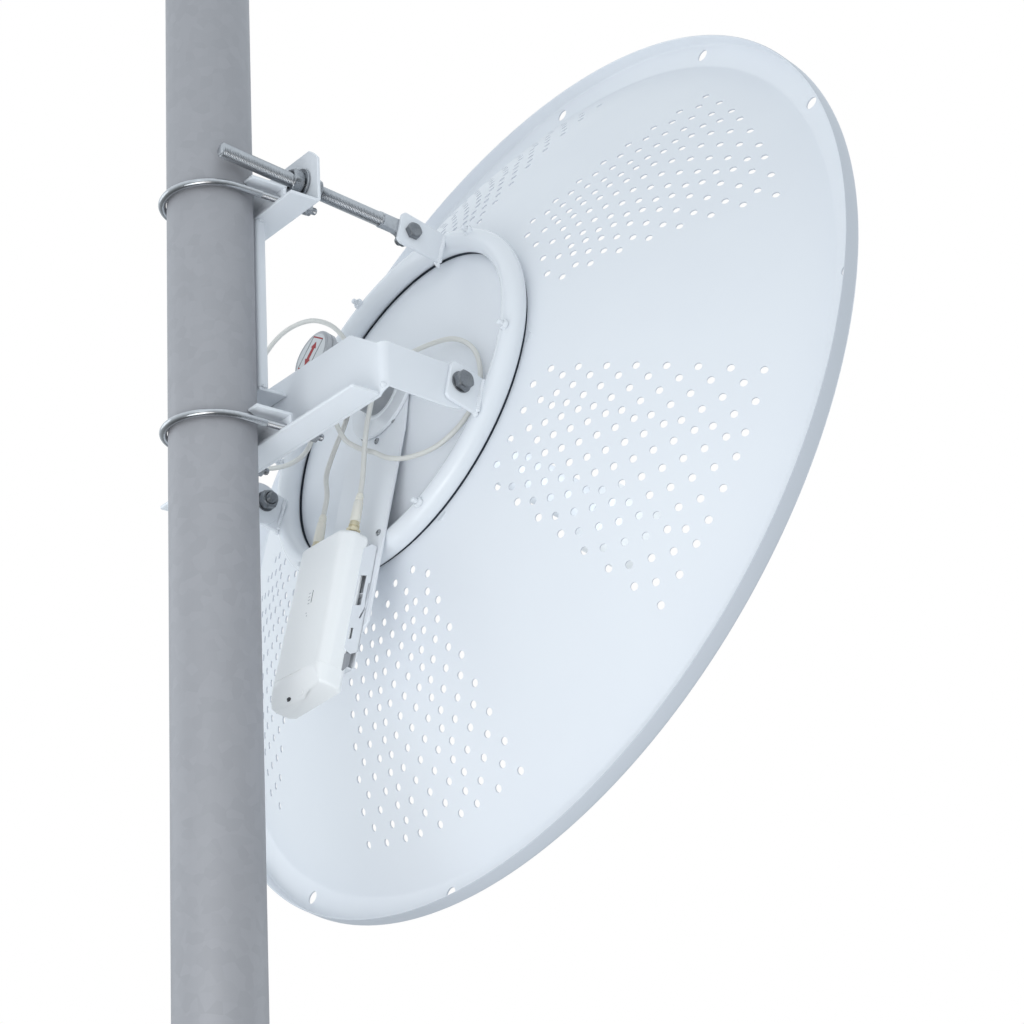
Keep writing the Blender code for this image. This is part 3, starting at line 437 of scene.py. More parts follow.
# Yoke. The lower plate of the bracket: 3.5 mm steel sheet, laser cut, with an arm folded
# forwards at each side to carry the dish, and a level flange welded along the foot of its
# web. All of the bracket is powder coated white, and the coat rounds every edge.
PLATE = 0.0035
PLATE_EDGE = 0.0009
PEEL = 0.0022                         # length of the orange-peel waves in the coat
CLOUD = 0.11                          # width of the faint clouds in its tone
YOKE_END_STEPS = 14
YOKE_BEND_STEPS = 12
YOKE_BEND_RADIUS = 0.009
YOKE_TOP_HALF = 0.1270
ARM_HALF = 0.1725
ARM_FRONT = 0.0200
ARM_FLAT_REAR = -0.0240
ARM_BOTTOM, ARM_TOP = -0.0265, 0.0215
ARM_END_START = 6                     # degrees: the arm's round end starts a little off its tip
WEB_CORNER_STEPS = 4
FLANGE_CORNER = 0.003


def powder_coat(name, colour, shade, roughness, peel):
    """Polyester powder coat: cool white, even, with faint clouds and orange-peel waves."""
    look, tree, shader = new_material(name)
    at = add_node(tree, "ShaderNodeTexCoord").outputs["Object"]
    clouds = add_node(tree, "ShaderNodeTexNoise", {"Vector": at, "Scale": 1 / CLOUD,
                                                   "Detail": 2.0})
    waves = add_node(tree, "ShaderNodeTexNoise", {"Vector": at, "Scale": 1 / PEEL,
                                                  "Detail": 1.0})
    tone = add_node(tree, "ShaderNodeMix", {0: clouds.outputs["Fac"],
                                            MIX_A: linear(colour), MIX_B: linear(shade)},
                    data_type="RGBA")
    dull = add_node(tree, "ShaderNodeMapRange", {"Value": clouds.outputs["Fac"],
                                                 "To Min": roughness - 0.04,
                                                 "To Max": roughness + 0.04})
    relief = add_node(tree, "ShaderNodeBump", {"Height": waves.outputs["Fac"],
                                               "Strength": peel, "Distance": 0.00012})
    join(tree, shader, {"Base Color": tone.outputs[MIX_OUT], "Roughness": dull.outputs[0],
                        "Normal": relief.outputs[0]})
    return look


def inset(outline, distance):
    """An anticlockwise outline moved inwards, each corner along the bisector of its edges."""
    ahead = np.roll(outline, -1, 0) - outline
    ahead /= np.linalg.norm(ahead, axis=1, keepdims=True)
    inward = np.stack([-ahead[:, 1], ahead[:, 0]], 1)
    before = np.roll(inward, 1, 0)
    spread = 1 + np.sum(inward * before, 1, keepdims=True)
    return outline + distance * (inward + before) / spread


def rounded(corners, steps=5):
    """An outline of (a, b, radius) corners, each turned into an arc of its own radius that
    touches both of its edges."""
    points = np.array([corner[:2] for corner in corners], float)
    outline = []
    for i, corner in enumerate(corners):
        radius = corner[2] if len(corner) > 2 else 0
        if not radius:
            outline.append(points[i])
            continue
        back = points[i - 1] - points[i]
        onward = points[(i + 1) % len(points)] - points[i]
        back, onward = back / np.linalg.norm(back), onward / np.linalg.norm(onward)
        half = math.acos(np.clip(np.dot(back, onward), -1, 1)) / 2
        middle = back + onward
        centre = points[i] + middle / np.linalg.norm(middle) * radius / math.sin(half)
        start = points[i] + back * radius / math.tan(half) - centre
        sweep = math.pi - 2 * half
        turn = sweep if back[0] * onward[1] - back[1] * onward[0] < 0 else -sweep
        for a in np.linspace(0, turn, steps):
            c, s = math.cos(a), math.sin(a)
            outline.append(centre + (c * start[0] - s * start[1], s * start[0] + c * start[1]))
    return np.array(outline)


def plate_rows(outline, low, high, edge=PLATE_EDGE, steps=4):
    """A flat plate between two heights, with quarter-round edges: the outline is inset by
    edge (1 - sin a) where its height is edge (1 - cos a) inside the face."""
    outline = np.array(outline, float)
    turn = np.linspace(0, np.pi / 2, steps)
    start = [(edge * (1 - math.sin(a)), low + edge * (1 - math.cos(a))) for a in turn]
    levels = start + [(d, low + high - z) for d, z in reversed(start)]
    return np.array([np.column_stack([inset(outline, d), np.full(len(outline), z)])
                     for d, z in levels])


def box_rows(low, high, edge=PLATE_EDGE, corner=0.0012):
    """A rectangular plate between two opposite corners, thick along local Z."""
    (x0, y0, z0), (x1, y1, z1) = low, high
    outline = rounded([(x0, y0, corner), (x1, y0, corner), (x1, y1, corner), (x0, y1, corner)], 4)
    return plate_rows(outline, z0, z1, edge)


def band_section(outer, inner, low, high, edge=PLATE_EDGE):
    """Cross-section of a folded band at one station: a rectangle from its outer face to its
    inner face, between two heights, with round corners."""
    thick = math.dist(outer, inner)
    shape = rounded([(0, low, edge), (thick, low, edge), (thick, high, edge), (0, high, edge)],
                    WEB_CORNER_STEPS)
    share = shape[:, :1] / thick
    flat = np.array(outer) * (1 - share) + np.array(inner) * share
    return np.column_stack([flat, shape[:, 1]])


def yoke_rows(web_front, bend_half, low, top):
    """The folded yoke, from the round end of the near arm to the middle of its web, then
    the same mirrored to the far arm. Heights are from the elevation axis, y is from it too."""
    middle, reach = (ARM_TOP + ARM_BOTTOM) / 2, (ARM_TOP - ARM_BOTTOM) / 2
    near = []
    for angle in np.radians(np.linspace(ARM_END_START, 90, YOKE_END_STEPS)):
        y = ARM_FRONT - reach + reach * math.cos(angle)
        rise = reach * math.sin(angle)
        near.append(band_section((ARM_HALF, y), (ARM_HALF - PLATE, y), middle - rise,
                                 middle + rise))
    near.append(band_section((ARM_HALF, ARM_FLAT_REAR), (ARM_HALF - PLATE, ARM_FLAT_REAR),
                             ARM_BOTTOM, ARM_TOP))
    rear = web_front - PLATE
    centre = (bend_half - YOKE_BEND_RADIUS, rear + YOKE_BEND_RADIUS)
    for share in np.linspace(0, 1, YOKE_BEND_STEPS):
        way = np.array([math.cos(share * math.pi / 2), -math.sin(share * math.pi / 2)])
        near.append(band_section(centre + YOKE_BEND_RADIUS * way,
                                 centre + (YOKE_BEND_RADIUS - PLATE) * way,
                                 ARM_BOTTOM + (low - ARM_BOTTOM) * share, ARM_TOP))
    near.append(band_section((YOKE_TOP_HALF, rear), (YOKE_TOP_HALF, web_front), low, top))
    near = np.array(near)
    far = near[::-1] * (-1, 1, 1)
    return np.concatenate([near, far])


joints = {joint["name"]: joint for joint in frame["joints"]}
pivot = np.array(joints["elevation"]["pos_m"], float)
gloss_white = powder_coat("gloss_powder_coat", "#edf0f4", "#e8ecf1", roughness=0.20, peel=0.16)

yoke_low, yoke_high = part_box("yoke_plate")
flange_low, flange_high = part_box("yoke_flange")
web_front = flange_high.y + PLATE + SEAT - pivot[1]
web_low, web_top = yoke_low.z - pivot[2], yoke_high.z - pivot[2]
yoke = yoke_rows(web_front, yoke_high.x, web_low, web_top) + pivot
make_piece("yoke", [skin(yoke)], gloss_white, "bracket", ["yoke_plate"])

flange = box_rows(flange_low, flange_high, corner=FLANGE_CORNER)
make_piece("yoke_flange_plate", [skin(flange)], gloss_white, "bracket", ["yoke_flange"])


# Upper angle. The same sheet folded once. Its flange runs back towards the mast, and its
# upright plate, with both top corners cut off, takes the upper U-bolt and the elevation rod.
ANGLE_BEND = 0.0045
ANGLE_CHAMFER = 0.0150
ANGLE_STEPS = 7
CHAMFER_SHARES = (0.3, 0.6, 1.0)      # stations along the cut corner, as shares of it
CHAMFER_BOW = 1.3                     # above 1, the cut bows inwards a little
END_STATION = 0.0008
INNER_BEND = 0.001


def angle_rows(half, rear, front, low, top):
    """The upper angle: its flange and its plate are one folded sheet, carried across x. The
    upright plate's top corners are cut off, so the section is shorter at both ends."""
    rows = []
    ends = np.array([0, END_STATION, *(share * ANGLE_CHAMFER for share in CHAMFER_SHARES)])
    stations = np.concatenate([ends - half, (half - ends)[::-1]])
    for x in stations:
        inside = half - abs(x)
        less = 0.7 * PLATE_EDGE if inside < 1e-6 else 0.0
        cut = ANGLE_CHAMFER * max(0.0, 1 - inside / ANGLE_CHAMFER) ** CHAMFER_BOW
        z1 = top - cut - less
        outline = rounded([(front - less, low + less, ANGLE_BEND), (front - less, z1, PLATE_EDGE),
                           (front - PLATE + less, z1, PLATE_EDGE),
                           (front - PLATE + less, low + PLATE - less, INNER_BEND),
                           (rear + less, low + PLATE - less, PLATE_EDGE),
                           (rear + less, low + less, PLATE_EDGE)], ANGLE_STEPS)
        rows.append(np.column_stack([np.full(len(outline), x), outline]))
    return np.array(rows)


low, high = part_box("upper_bracket")
angle_plate = angle_rows(high.x, low.y, high.y, low.z, high.z)
make_piece("upper_angle", [skin(angle_plate)], gloss_white, "bracket", ["upper_bracket"])


# Spine. A channel folded from 3 mm sheet, open towards the dish. It stands between the upper
# angle and a small foot plate that ties it to the yoke, and is welded at both ends.
SPINE_WALL = 0.003
SPINE_BEND = 0.0035
SPINE_LIP = 0.0008
SPINE_EDGE = 0.0006

spine_low, spine_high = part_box("spine_channel")
outer_x, lip_y = spine_high.x, spine_high.y
inner_x, floor_y = outer_x - SPINE_WALL, spine_low.y + SPINE_WALL
channel = rounded([(-outer_x, lip_y, SPINE_LIP), (-outer_x, spine_low.y, SPINE_BEND),
                   (outer_x, spine_low.y, SPINE_BEND), (outer_x, lip_y, SPINE_LIP),
                   (inner_x, lip_y, SPINE_LIP), (inner_x, floor_y, INNER_BEND),
                   (-inner_x, floor_y, INNER_BEND), (-inner_x, lip_y, SPINE_LIP)])
make_piece("spine", [skin(plate_rows(channel, spine_low.z, spine_high.z, SPINE_EDGE))],
           gloss_white, "bracket", ["spine_channel"])
make_piece("spine_foot_plate", [skin(box_rows(*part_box("spine_foot")))], gloss_white, "bracket",
           ["spine_foot"])


# Saddles. Two plates of the same sheet, one above each U-bolt, bent down at the front. The
# deck has a round mouth that bears on the mast, and its bent apron meets the bracket.
SADDLE_TIP_Y = 0.0142
MOUTH_STEPS = 40
APRON_BELOW_DECK = 0.3                # the apron's top lies this share of the sheet below

mouth = mast_radius + SEAT
mouth_start = math.asin(SADDLE_TIP_Y / mouth)
for label in ("upper", "lower"):
    low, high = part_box(label + "_saddle")
    half, front = high.x, high.y
    arc = [(mouth * math.cos(a), mouth * math.sin(a))
           for a in np.linspace(mouth_start, np.pi - mouth_start, MOUTH_STEPS)]
    outline = np.array([(half, SADDLE_TIP_Y), (half, front), (-half, front),
                        (-half, SADDLE_TIP_Y)] + arc[::-1])
    deck = plate_rows(outline, high.z - PLATE, high.z)
    apron = box_rows((-half, front - PLATE, low.z),
                     (half, front, high.z - APRON_BELOW_DECK * PLATE))
    make_piece(label + "_saddle_plate", [skin(deck), skin(apron)], gloss_white, "bracket",
               [label + "_saddle"])


# Bracket welds. Hand-laid beads where the flange meets the web, along the spine's two ends,
# and round the foot of each of the yoke's bends. They are coated with the plates, and the
# coat flows a little over them.
FLANGE_BEADS = ((-0.165, -0.112), (-0.040, 0.040), (0.112, 0.165))   # stitches along its top
FLANGE_BEAD = 0.0024
FLANGE_BEAD_OUT, FLANGE_BEAD_UP = 0.0004, 0.0003
UNDER_HALF = 0.166
UNDER_BEAD = 0.0012
UNDER_IN, UNDER_UP = 0.0002, 0.0010
SPINE_BEAD = 0.0020
SPINE_BEAD_OUT = 0.0008
SPINE_BEAD_IN = 0.0005
SPINE_BEAD_ENDS = (0.002, -0.001)     # its ends, from the channel's rear and from its lips
BEND_BEAD = 0.0032
BEND_BEAD_SUNK = 0.001
BEND_BEAD_UP = 0.0005
BEND_BEAD_SWEEP = (0.5, 1.45)         # radians round the bend


def bead_rows(path, width, ripple=0.0022, sideways=(0, 0, 1), around=12, seed=0):
    """A weld bead along a path: a bar whose radius swells by a tenth each ripple and wanders
    a little, tapering to nothing at both ends."""
    path = np.array(path, float)
    step = np.linalg.norm(np.diff(path, axis=0), axis=1)
    along = np.concatenate([[0], np.cumsum(step)])
    places = np.linspace(0, along[-1], max(8, int(along[-1] / ripple * 5)))
    centres = np.stack([np.interp(places, along, path[:, i]) for i in range(3)], 1)
    wander = np.interp(places, np.linspace(0, along[-1], 12),
                       np.random.default_rng(seed).uniform(0.86, 1.10, 12))
    ends = np.sin(np.pi * np.clip(np.minimum(places, along[-1] - places) / (2 * width), 0.02, 0.5))
    wide = width * wander * ends * (1 + 0.10 * np.cos(2 * np.pi * places / ripple))
    across = np.broadcast_to(np.array(sideways, float), centres.shape)
    return swept_rows(centres, across, wide[:, None], around)


web_rear = web_front - PLATE + pivot[1]
top_y, top_z = web_rear - FLANGE_BEAD_OUT, flange_high.z + FLANGE_BEAD_UP
welds = [bead_rows([(x0, top_y, top_z), (x1, top_y, top_z)], FLANGE_BEAD, seed=i)
         for i, (x0, x1) in enumerate(FLANGE_BEADS)]
under_y, under_z = web_rear + UNDER_IN, flange_low.z + UNDER_UP
welds.append(bead_rows([(-UNDER_HALF, under_y, under_z), (UNDER_HALF, under_y, under_z)],
                       UNDER_BEAD, ripple=0.0020, seed=5))
rear_y, front_y = spine_low.y + SPINE_BEAD_ENDS[0], spine_high.y + SPINE_BEAD_ENDS[1]
for side in (-1, 1):
    x = side * (spine_high.x + SPINE_BEAD_OUT)
    for z, seed in ((spine_low.z + SPINE_BEAD_IN, 8), (spine_high.z - SPINE_BEAD_IN, 11)):
        welds.append(bead_rows([(x, rear_y, z), (x, front_y, z)], SPINE_BEAD, seed=seed + side))
bend_y = web_rear + YOKE_BEND_RADIUS
round_bend = YOKE_BEND_RADIUS - BEND_BEAD_SUNK
for side in (-1, 1):
    drip = [(side * (yoke_high.x + round_bend * (math.cos(a) - 1)),
             bend_y - round_bend * math.sin(a), pivot[2] + ARM_BOTTOM + BEND_BEAD_UP)
            for a in np.linspace(*BEND_BEAD_SWEEP, 8)]
    welds.append(bead_rows(drip, BEND_BEAD, ripple=0.0040, seed=15 + side))
make_piece("bracket_welds", [skin(rows) for rows in welds], gloss_white, "bracket",
           sharp=70)


# Elevation bolts. An M12 hexagon bolt and nut with a flat washer on each side, blackened
# steel, on the axis that the dish tilts about. Each passes through its arm and its lug.
M12_PITCH = 0.00175
M12_RADIUS = 0.006
PIVOT_FLATS = 0.019
PIVOT_HEAD = 0.0095                   # the head and its washer together
SHANK_ROOT = 0.006                    # the shank starts this deep in the head
PIVOT_WASHER_RADIUS = 0.0115
PIVOT_WASHER_THICK = 0.0016
HEAD_WASHER_BORE, NUT_WASHER_BORE = 0.0058, 0.0064
STUD_TIP = 0.74                       # share of the radius that is left at a stud's end
FORGE_SCALE = 0.0016                  # grain of the forged and blackened surface


def blackened_steel():
    """Oiled black-oxide steel: a dark, slightly brown-grey metal with a soft sheen."""
    look, tree, shader = new_material("blackened_steel")
    at = add_node(tree, "ShaderNodeTexCoord").outputs["Object"]
    forge = add_node(tree, "ShaderNodeTexNoise", {"Vector": at, "Scale": 1 / FORGE_SCALE,
                                                  "Detail": 4.0})
    tone = add_node(tree, "ShaderNodeMix", {0: forge.outputs["Fac"],
                                            MIX_A: linear("#6e7175"), MIX_B: linear("#94979b")},
                    data_type="RGBA")
    relief = add_node(tree, "ShaderNodeBump", {"Height": forge.outputs["Fac"],
                                               "Strength": 0.18, "Distance": 0.00015})
    join(tree, shader, {"Base Color": tone.outputs[MIX_OUT], "Metallic": 0.85,
                        "Roughness": 0.29, "Normal": relief.outputs[0]})
    return look


def head_rows(across, thick):
    """A hexagon bolt head about local Z: flat underside, chamfered top with a shallow cup."""
    flat = across / 2
    cut = 0.10 * across
    return turned_rows([(1.16 * flat, 0.0, across), (1.16 * flat, thick - cut, across),
                        (1.06 * flat, thick - 0.5 * cut, across), (0.93 * flat, thick),
                        (0.62 * flat, thick), (0.50 * flat, thick - 0.0004)])


def stud_rows(radius, low, high, pitch, around=24):
    """A threaded bar about local Z between two heights, with a chamfered tip at the high end."""
    along = np.arange(low, high, pitch / ROWS_A_TURN)
    wide = thread_radius(along, radius, pitch, around)
    taper = np.clip(STUD_TIP + (1 - STUD_TIP) * (high - along) / TIP_CHAMFER, 0, 1)
    centres = np.stack([0 * along, 0 * along, along], 1)
    across = np.broadcast_to((1.0, 0.0, 0.0), centres.shape)
    return swept_rows(centres, across, wide * taper[:, None], around)


def washer_rows(bore, radius, low, high):
    """A flat washer about local Z, its outer edge slightly rounded by the punch."""
    soft = 0.25 * (high - low)
    return turned_rows([(bore, low), (radius - soft, low), (radius, low + soft),
                        (radius, high - soft), (radius - soft, high), (bore, high)])


black_steel = blackened_steel()
for side, name, spin in ((1, "near", 0.20), (-1, "far", -0.35)):
    low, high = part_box(name + "_pivot_bolt")
    tip, head_end = sorted((abs(low.x), abs(high.x)))
    low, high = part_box(name + "_pivot_nut")
    nut_end, nut_face = sorted((abs(low.x), abs(high.x)))
    seat = head_end - PIVOT_HEAD
    head_start = seat + PIVOT_WASHER_THICK
    shank_start = head_end - SHANK_ROOT
    washer = washer_rows(HEAD_WASHER_BORE, PIVOT_WASHER_RADIUS, seat, head_start)
    head = head_rows(PIVOT_FLATS, head_end - head_start) + (0, 0, head_start)
    shank = stud_rows(M12_RADIUS, 0.0, shank_start - tip, M12_PITCH) * (1, 1, -1)
    bolt = [skin(washer, closed=True), skin(head), skin(shank + (0, 0, shank_start))]
    nut_seat = nut_face - PIVOT_WASHER_THICK
    washer = washer_rows(NUT_WASHER_BORE, PIVOT_WASHER_RADIUS, nut_seat, nut_face)
    nut = nut_rows(PIVOT_FLATS, nut_seat - nut_end, M12_RADIUS + BORE_SLACK) + (0, 0, nut_end)
    nut = [skin(washer, closed=True), skin(nut, closed=True)]
    for kind, parts, turn in (("bolt", bolt, spin), ("nut", nut, -spin)):
        placed = [(aimed(points, (0, pivot[1], pivot[2]), (side, 0, 0), turn), faces)
                  for points, faces in parts]
        make_piece("%s_elevation_%s" % (name, kind), placed, black_steel, "bracket",
                   ["%s_pivot_%s" % (name, kind)], 40)


# Reflector. One pressed sheet of steel, 1.05 m across: a paraboloid, a flat rim with twelve
# round holes, and an edge turned back. Six like groups of holes are punched in it so that wind
# passes through. It is powder coated in satin white. The walls of the holes and the outside of
# the turned edge are coloured a greyer white, which is painted shade.
TILT = math.radians(14)
CENTRE_U = 0.0754                     # dish centre above the elevation axis, in its own frame
DISH_RADIUS = 0.525
FOCAL_LENGTH = 0.3573
SHEET = 0.0016
VERTEX_N = 0.0257
RIM_FACE_N = 0.1985
RIM_DEPTH = 0.0187
RIM_BEND = 0.004
HUB_HOLE = 0.027
BOWL_BLEND = 0.0007                   # how softly the bowl turns into the flat rim
BOWL_EDGE = 0.4947
BLEND_RINGS = (-7, -4, -2, -1, 0, 1, 2, 4, 7)   # rings of points there, in BOWL_BLENDs
RIM_COUNT = 240
RIM_STEPS = 7
HUB_COUNT = 48
GRID_STEP = 0.015                     # spacing of the points inside the bowl
SLOPE_STEP = 1e-5
RIM_HOLES = 12
RIM_HOLE_CIRCLE = 0.5095
RIM_HOLE_RADIUS = 0.0071
RIM_HOLE_START = -1.5                 # degrees, as they sit a little before the hours
HOLE_RADIUS = 0.0041
HOLE_POINTS = 16
HOLE_ROWS = 16
FIRST_ROW, ROW_STEP, ROW_CLOSING = 0.2235, 0.01560, 0.0000385
GROUP_COUNT, GROUP_START = 6, -2.6    # the groups' first middle line is in degrees, like their rows
SHORT_ROWS = ((-11.5, -4.1, 4.1, 11.5), (-15.8, -7.4, 0, 7.4, 15.8))
EVEN_ROW = (-13.9, -9.5, -6.35, -2.15, 2.15, 6.35, 9.5, 13.9)
ODD_ROW = (-15.9, -11.6, -7.4, -4.2, 0, 4.2, 7.4, 11.6, 15.9)
CLEAR_OF_HOLE = 0.0075                # spare points keep this far from a hole's centre


def from_dish(points):
    """Points in the dish's own frame (x, along the boresight, up from the dish centre) at
    rest in the world: the frame is tilted forwards about the elevation axis."""
    x, n, v = np.moveaxis(np.asarray(points, float), -1, 0)
    u = v + CENTRE_U
    return np.stack([x + pivot[0], pivot[1] + n * math.cos(TILT) + u * math.sin(TILT),
                     pivot[2] - n * math.sin(TILT) + u * math.cos(TILT)], -1)


def bowl_n(radius):
    """Rear of the sheet along the boresight: the lower of the paraboloid and the rim's flat,
    blended by minus k log(exp(-a/k) + exp(-b/k))."""
    bowl = VERTEX_N + np.square(radius) / (4 * FOCAL_LENGTH)
    flat = RIM_FACE_N - SHEET
    return -BOWL_BLEND * np.logaddexp(-bowl / BOWL_BLEND, -flat / BOWL_BLEND)


def sheet_sides(plan):
    """Rear and front points of the sheet over plan points (x, v): the front lies one sheet
    thickness away, square to the curve."""
    radius = np.linalg.norm(plan, axis=1)
    slope = (bowl_n(radius + SLOPE_STEP) - bowl_n(radius - SLOPE_STEP)) / (2 * SLOPE_STEP)
    shorten = SHEET / np.sqrt(1 + slope ** 2)
    rear_n = bowl_n(radius)
    outward = plan / radius[:, None]
    rear = np.stack([plan[:, 0], rear_n, plan[:, 1]], 1)
    moved = plan - (slope * shorten)[:, None] * outward
    front = np.stack([moved[:, 0], rear_n + shorten, moved[:, 1]], 1)
    return rear, front


def ring_points(radius, count):
    """Points of a circle in the plan of the dish, clockwise from its top."""
    angle = np.linspace(0, 2 * np.pi, count, endpoint=False)
    return radius * np.stack([np.sin(angle), np.cos(angle)], 1)


def hole_loops():
    """Loops of every punched hole, as an array (hole, point, 2). Rows lie on arcs that close
    up a little outwards; a hole is round in the sheet, so it is shorter in plan radially."""
    offsets = list(SHORT_ROWS) + [EVEN_ROW, ODD_ROW] * ((HOLE_ROWS - len(SHORT_ROWS)) // 2)
    centres = [(FIRST_ROW + ROW_STEP * k - ROW_CLOSING * k * k, offset)
               for k, row in enumerate(offsets) for offset in row]
    radius, offset = np.array(centres).T
    group = GROUP_START + 360 / GROUP_COUNT * np.arange(GROUP_COUNT)
    bearing = np.radians(group[:, None] + offset[None, :]).ravel()
    radius = np.tile(radius, GROUP_COUNT)
    out = np.stack([np.sin(bearing), np.cos(bearing)], 1)
    across = np.stack([out[:, 1], -out[:, 0]], 1)
    lean = np.cos(np.arctan(radius / (2 * FOCAL_LENGTH)))
    angle = np.linspace(0, 2 * np.pi, HOLE_POINTS, endpoint=False)
    ring = HOLE_RADIUS * (np.cos(angle)[None, :, None] * (lean[:, None] * out)[:, None]
                          + np.sin(angle)[None, :, None] * across[:, None])
    return (radius[:, None] * out)[:, None] + ring


def rim_hole_loops():
    """Loops of the round holes along the rim, as an array (hole, point, 2)."""
    bearing = np.radians(RIM_HOLE_START + 360 / RIM_HOLES * np.arange(RIM_HOLES))
    centre = RIM_HOLE_CIRCLE * np.stack([np.sin(bearing), np.cos(bearing)], 1)
    return centre[:, None] + ring_points(RIM_HOLE_RADIUS, 2 * HOLE_POINTS)[None]


def pierced(outer, holes, spare):
    """Triangles of a flat sheet: an outer loop, holes left open, and spare inner points. A
    triangle whose corners all belong to one hole fills it, and is dropped."""
    plan = np.concatenate([outer] + list(holes) + [spare])
    label = np.zeros(len(plan), int)
    loops, first = [], 0
    for i, loop in enumerate([outer] + list(holes)):
        loops.append(np.arange(first, first + len(loop)))
        label[loops[-1]] = i
        first += len(loop)
    edges = np.concatenate([np.stack([loop, np.roll(loop, -1)], 1) for loop in loops])
    points, _, triangles, _, _, _ = delaunay_2d_cdt([Vector(p) for p in plan.tolist()],
                                                    edges.tolist(), [], 0, 1e-9)
    plan = np.array(points)
    triangles = np.array(triangles)
    kind = label[triangles]
    filled = (kind[:, 0] == kind[:, 1]) & (kind[:, 1] == kind[:, 2]) & (kind[:, 0] > 0)
    return plan, triangles[~filled], loops


def thickened(rear, front, triangles, loops):
    """A closed sheet from its two sides and the walls round the given loops."""
    count = len(rear)
    faces = [triangles, triangles[:, ::-1] + count]
    for loop in loops:
        after = np.roll(loop, -1)
        faces.append(np.stack([loop, after, after + count, loop + count], 1))
    return np.concatenate([rear, front]), faces


holes = hole_loops()
rim_holes = rim_hole_loops()
bowl_rings = [ring_points(r, max(36, 12 * round(2 * np.pi * r / GRID_STEP / 12)))
              for r in np.arange(HUB_HOLE + GRID_STEP / 2, BOWL_EDGE - GRID_STEP / 2, GRID_STEP)]
bowl_grid = np.concatenate(bowl_rings)
distance = np.linalg.norm(bowl_grid[:, None] - holes.mean(1)[None], axis=2).min(1)
turn_grid = np.concatenate([ring_points(BOWL_EDGE + BOWL_BLEND * k, RIM_COUNT)
                            for k in BLEND_RINGS])
rim_start = DISH_RADIUS - RIM_BEND
plan, triangles, loops = pierced(ring_points(rim_start, RIM_COUNT),
                                 [ring_points(HUB_HOLE, HUB_COUNT), *holes, *rim_holes],
                                 np.concatenate([bowl_grid[distance > CLEAR_OF_HOLE], turn_grid]))
rear, front = sheet_sides(plan)
dish_points, dish_faces = thickened(rear, front, triangles, loops[1:])


def bend_section(radius):
    """One face of the rim's bend, a quarter circle round its centre line, as (radius, n)."""
    turn = np.linspace(0, np.pi / 2, RIM_STEPS)
    return np.stack([rim_start + radius * np.sin(turn),
                     RIM_FACE_N - RIM_BEND + radius * np.cos(turn)], 1)


edge_n = RIM_FACE_N - RIM_DEPTH + SHEET / 2
half_turn = np.linspace(0, np.pi, RIM_STEPS)
cut_edge = np.stack([DISH_RADIUS - SHEET / 2 - SHEET / 2 * np.cos(half_turn),
                     edge_n - SHEET / 2 * np.sin(half_turn)], 1)
band = np.concatenate([bend_section(RIM_BEND - SHEET), cut_edge, bend_section(RIM_BEND)[::-1]])
circle = ring_points(1.0, RIM_COUNT)
rim_points = np.stack([band[:, :1] * circle[None, :, 0],
                       np.repeat(band[:, 1:], RIM_COUNT, 1),
                       band[:, :1] * circle[None, :, 1]], -1)[1:-1]
count = len(dish_points)
rows = np.arange(rim_points.shape[0] * RIM_COUNT).reshape(-1, RIM_COUNT) + count
rows = np.concatenate([loops[0][None], rows, loops[0][None] + len(rear)])
after = np.roll(rows, -1, 1)
dish_faces.append(np.stack([rows[:-1], after[:-1], after[1:], rows[1:]], -1).reshape(-1, 4))
dish_points = np.concatenate([dish_points, rim_points.reshape(-1, 3)])
satin_white = powder_coat("satin_powder_coat", "#eceff3", "#e8ebf0", roughness=0.36, peel=0.10)
# Painted shade: a greyer white for the walls of the holes and the outside of the turned edge.
painted_shade_grey = powder_coat("thin_grey_coat", "#cdd1d8", "#c7ccd3", roughness=0.40, peel=0.10)
reflector = make_piece("perforated_reflector", [(from_dish(dish_points), dish_faces)], satin_white,
                       "dish", ["reflector"], 30)
reflector.data.materials.append(painted_shade_grey)
# The first two groups of faces are the sheet's sides, the last is the rim band, whose second
# half is its outside, and the others are the walls of the holes. The walls and the band's
# outside take the greyer white of painted shade.
grey = [np.full(len(group), i > 1) for i, group in enumerate(dish_faces)]
grey[-1] = np.repeat(np.arange(len(rows) - 1) >= len(rows) // 2, RIM_COUNT)
reflector.data.polygons.foreach_set("material_index", np.concatenate(grey).astype(np.int32))


# Mounting ring. A 25.6 mm steel tube rolled into a ring and butt welded, coated with the
# brackets. It stiffens the middle of the bowl and carries the lugs that the bracket holds.
RING_RADIUS = 0.1942
RING_TUBE = 0.0128
RING_N = 0.0385
JOINT_BEARING = math.radians(205)
JOINT_SWELL, JOINT_SPREAD = 0.0005, 0.0016    # height and half width of the dressed weld


def on_dish(bearing, radius, n=0.0):
    """A point at a bearing clockwise from the dish's top, in the dish's frame."""
    return np.array([radius * math.sin(bearing), n, radius * math.cos(bearing)])


def ring_rows(radius, tube, n, around=28, count=240):
    """A torus about the boresight. Where its ends are welded the tube swells by a bell curve,
    exp(-(d / spread) squared), of the distance d along the ring."""
    bearing = np.linspace(0, 2 * np.pi, count, endpoint=False)
    angle = np.linspace(0, 2 * np.pi, around, endpoint=False)
    apart = np.angle(np.exp(1j * (bearing - JOINT_BEARING))) * radius
    wide = tube + JOINT_SWELL * np.exp(-(apart / JOINT_SPREAD) ** 2)
    reach = radius + wide[:, None] * np.cos(angle)[None]
    return np.stack([reach * np.sin(bearing)[:, None], n + wide[:, None] * np.sin(angle)[None],
                     reach * np.cos(bearing)[:, None]], -1)


make_piece("ring_tube", [skin(from_dish(ring_rows(RING_RADIUS, RING_TUBE, RING_N)), closed=True)],
           gloss_white, "dish", ["mounting_ring"])
